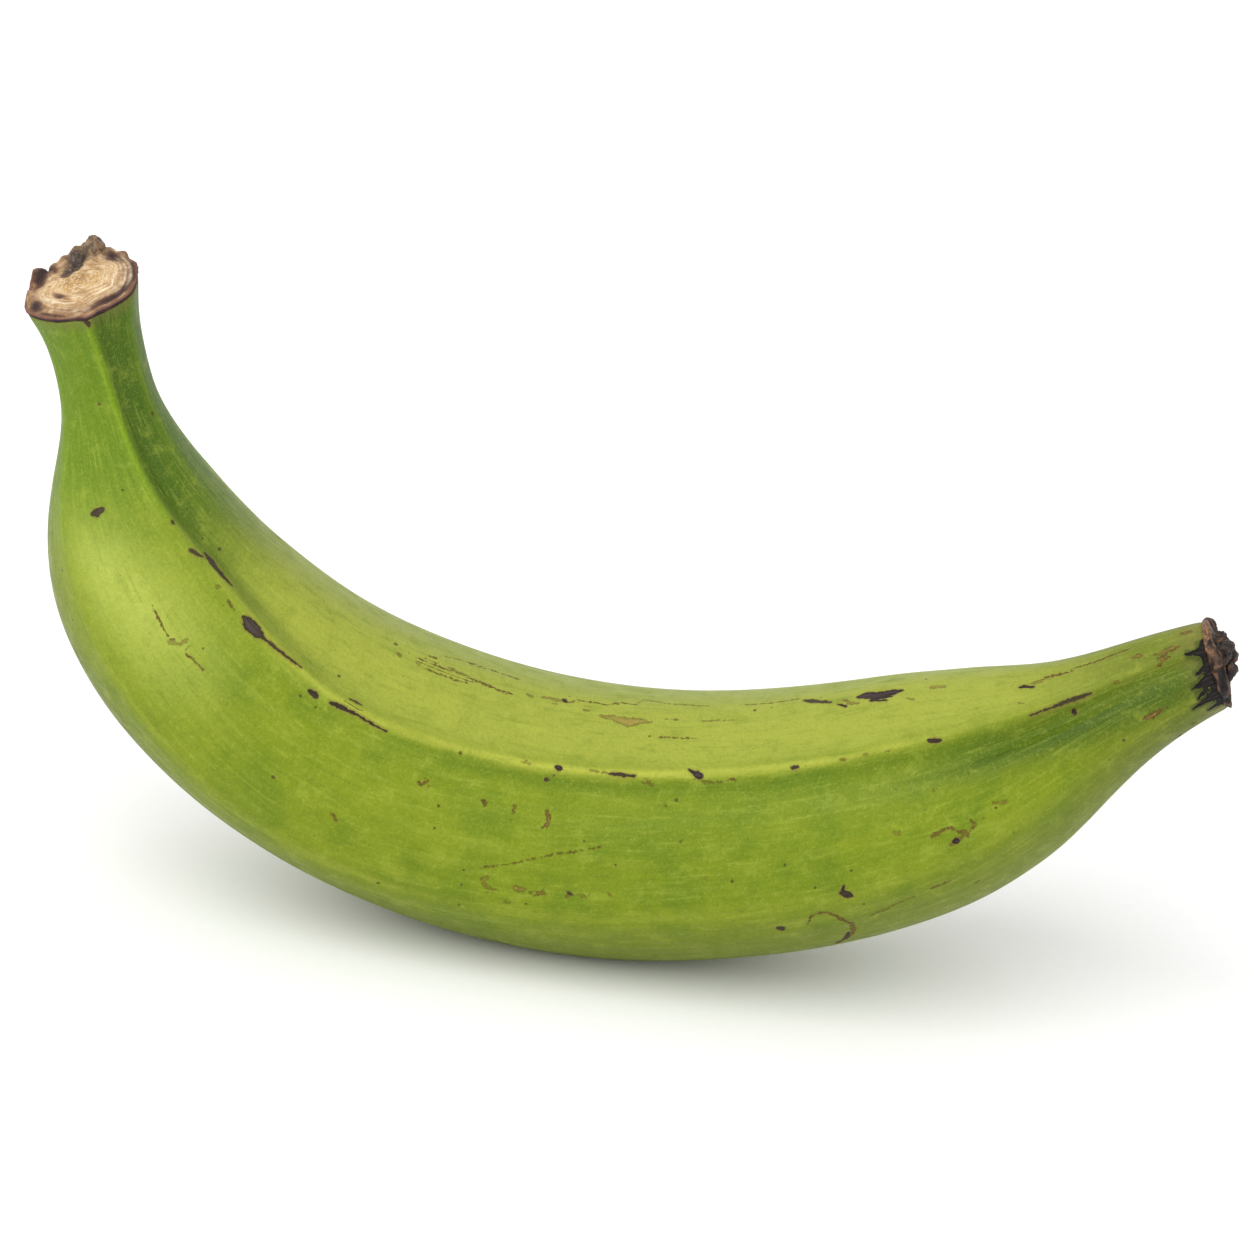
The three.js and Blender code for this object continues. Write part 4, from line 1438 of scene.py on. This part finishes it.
# %% [markdown]
# Withered flower tissue
#
# Dead flower tissue is almost black, with brown on the tops of its folds, partly its own colour and
# partly a painted highlight, and a tan torn edge with painted shade in its creases.
# Dried sap leaves some of it glossy, like old varnish, so the roughness goes down in spots.

# %% Flower scab material
SCAB_NOISES = {"scab_place": {"crumb": (0.6, 4, 0.7), "blotch": (2.5, 3, 0.6)}}
scab_paint, tree, found = new_material("withered_flower_tissue", SCAB_NOISES, ("raised", "torn_side"),
                                       IOR=1.5, Specular_IOR_Level=0.3)
scab_colour = layered(
    tree, found, "#150f0e",
    # Fold tops lighter brown: partly the tissue's own colour, partly a painted highlight
    ("#2e221c", ("raised", -0.3, 0.9, 0, 0.75)),
    ("#664a38", ("raised", 0.4, 1.3), ("blotch", 0.42, 0.6)),
    ("#4a3830", ("crumb", 0.58, 0.72, 0, 0.5)),
    # Torn tan edge, with painted shade in its creases
    ("#6f5039", ("torn_side", 0.1, 0.6), ("crumb", 0.3, 0.56, 0.3, 1)),
    ("#a07446", ("torn_side", 0.2, 0.8), ("crumb", 0.5, 0.64, 0, 0.95)),
    # Painted shade: darker where the torn edge sinks into creases
    ("#1e1410", ("torn_side", 0.1, 0.9), ("raised", 0.2, -0.7)),
)
rough = where(tree, found, ("blotch", 0.42, 0.6, 0.3, 0.7))
put_on(flower_scab, scab_paint, scab_colour, rough, where(tree, found, "crumb", 0.4), 0.8)

# %% [markdown]
# Floor and light
#
# The fruit stands on white paper between white walls, with a large soft light high at the front
# left. So there is one broad disc lamp there and an even white sky. The sky fills the shadow, which
# is dark only where the belly nearly touches the paper.

# %% Floor
bpy.ops.mesh.primitive_plane_add(size=12, location=(0, 0, 0))
floor = bpy.context.object
floor.name = "floor"
paper, tree, found = new_material("white_paper", {"own": {"pulp": (2, 2, 0.5)}}, IOR=1.45,
                                  Specular_IOR_Level=0, Roughness=0.9)
put_on(floor, paper, layered(tree, found, "#f4f4f3", ("#f7f7f6", "pulp")))

# %% Sky and lamp
SKY_STRENGTH = 0.92
LAMP_PLACE = Vector((-0.8, -1.1, 1.5))
LAMP_WIDTH = 2.2
LAMP_WATTS = 30

world = bpy.data.worlds.new("studio")
bpy.context.scene.world = world
world.use_nodes = True
sky = world.node_tree.nodes["Background"].inputs
sky["Color"].default_value = (1, 1, 1, 1)
sky["Strength"].default_value = SKY_STRENGTH
bpy.context.scene.view_settings.view_transform = "Standard"

softbox = bpy.data.lights.new("overhead", "AREA")
softbox.shape = "DISK"
softbox.size = LAMP_WIDTH
softbox.energy = LAMP_WATTS
lamp = bpy.data.objects.new("overhead", softbox)
bpy.context.scene.collection.objects.link(lamp)
lamp.location = LAMP_PLACE
lamp.rotation_euler = (-LAMP_PLACE).to_track_quat("-Z", "Y").to_euler()
print("lamp:", LAMP_WIDTH, "m wide,", LAMP_WATTS, "W")

# %% [markdown]
# Attaching the pieces
#
# Each piece rides on the one body, and the solid that they stand for is hidden. The boxes of the
# solid and of each dressed piece are printed along the way.

# %% Ride on the body, and hide the solid
for piece, slot in ((peel, "peel"), (stem_cut, "stem_cut"), (flower_scab, "flower_scab")):
    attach(piece, "root")
    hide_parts("plantain")
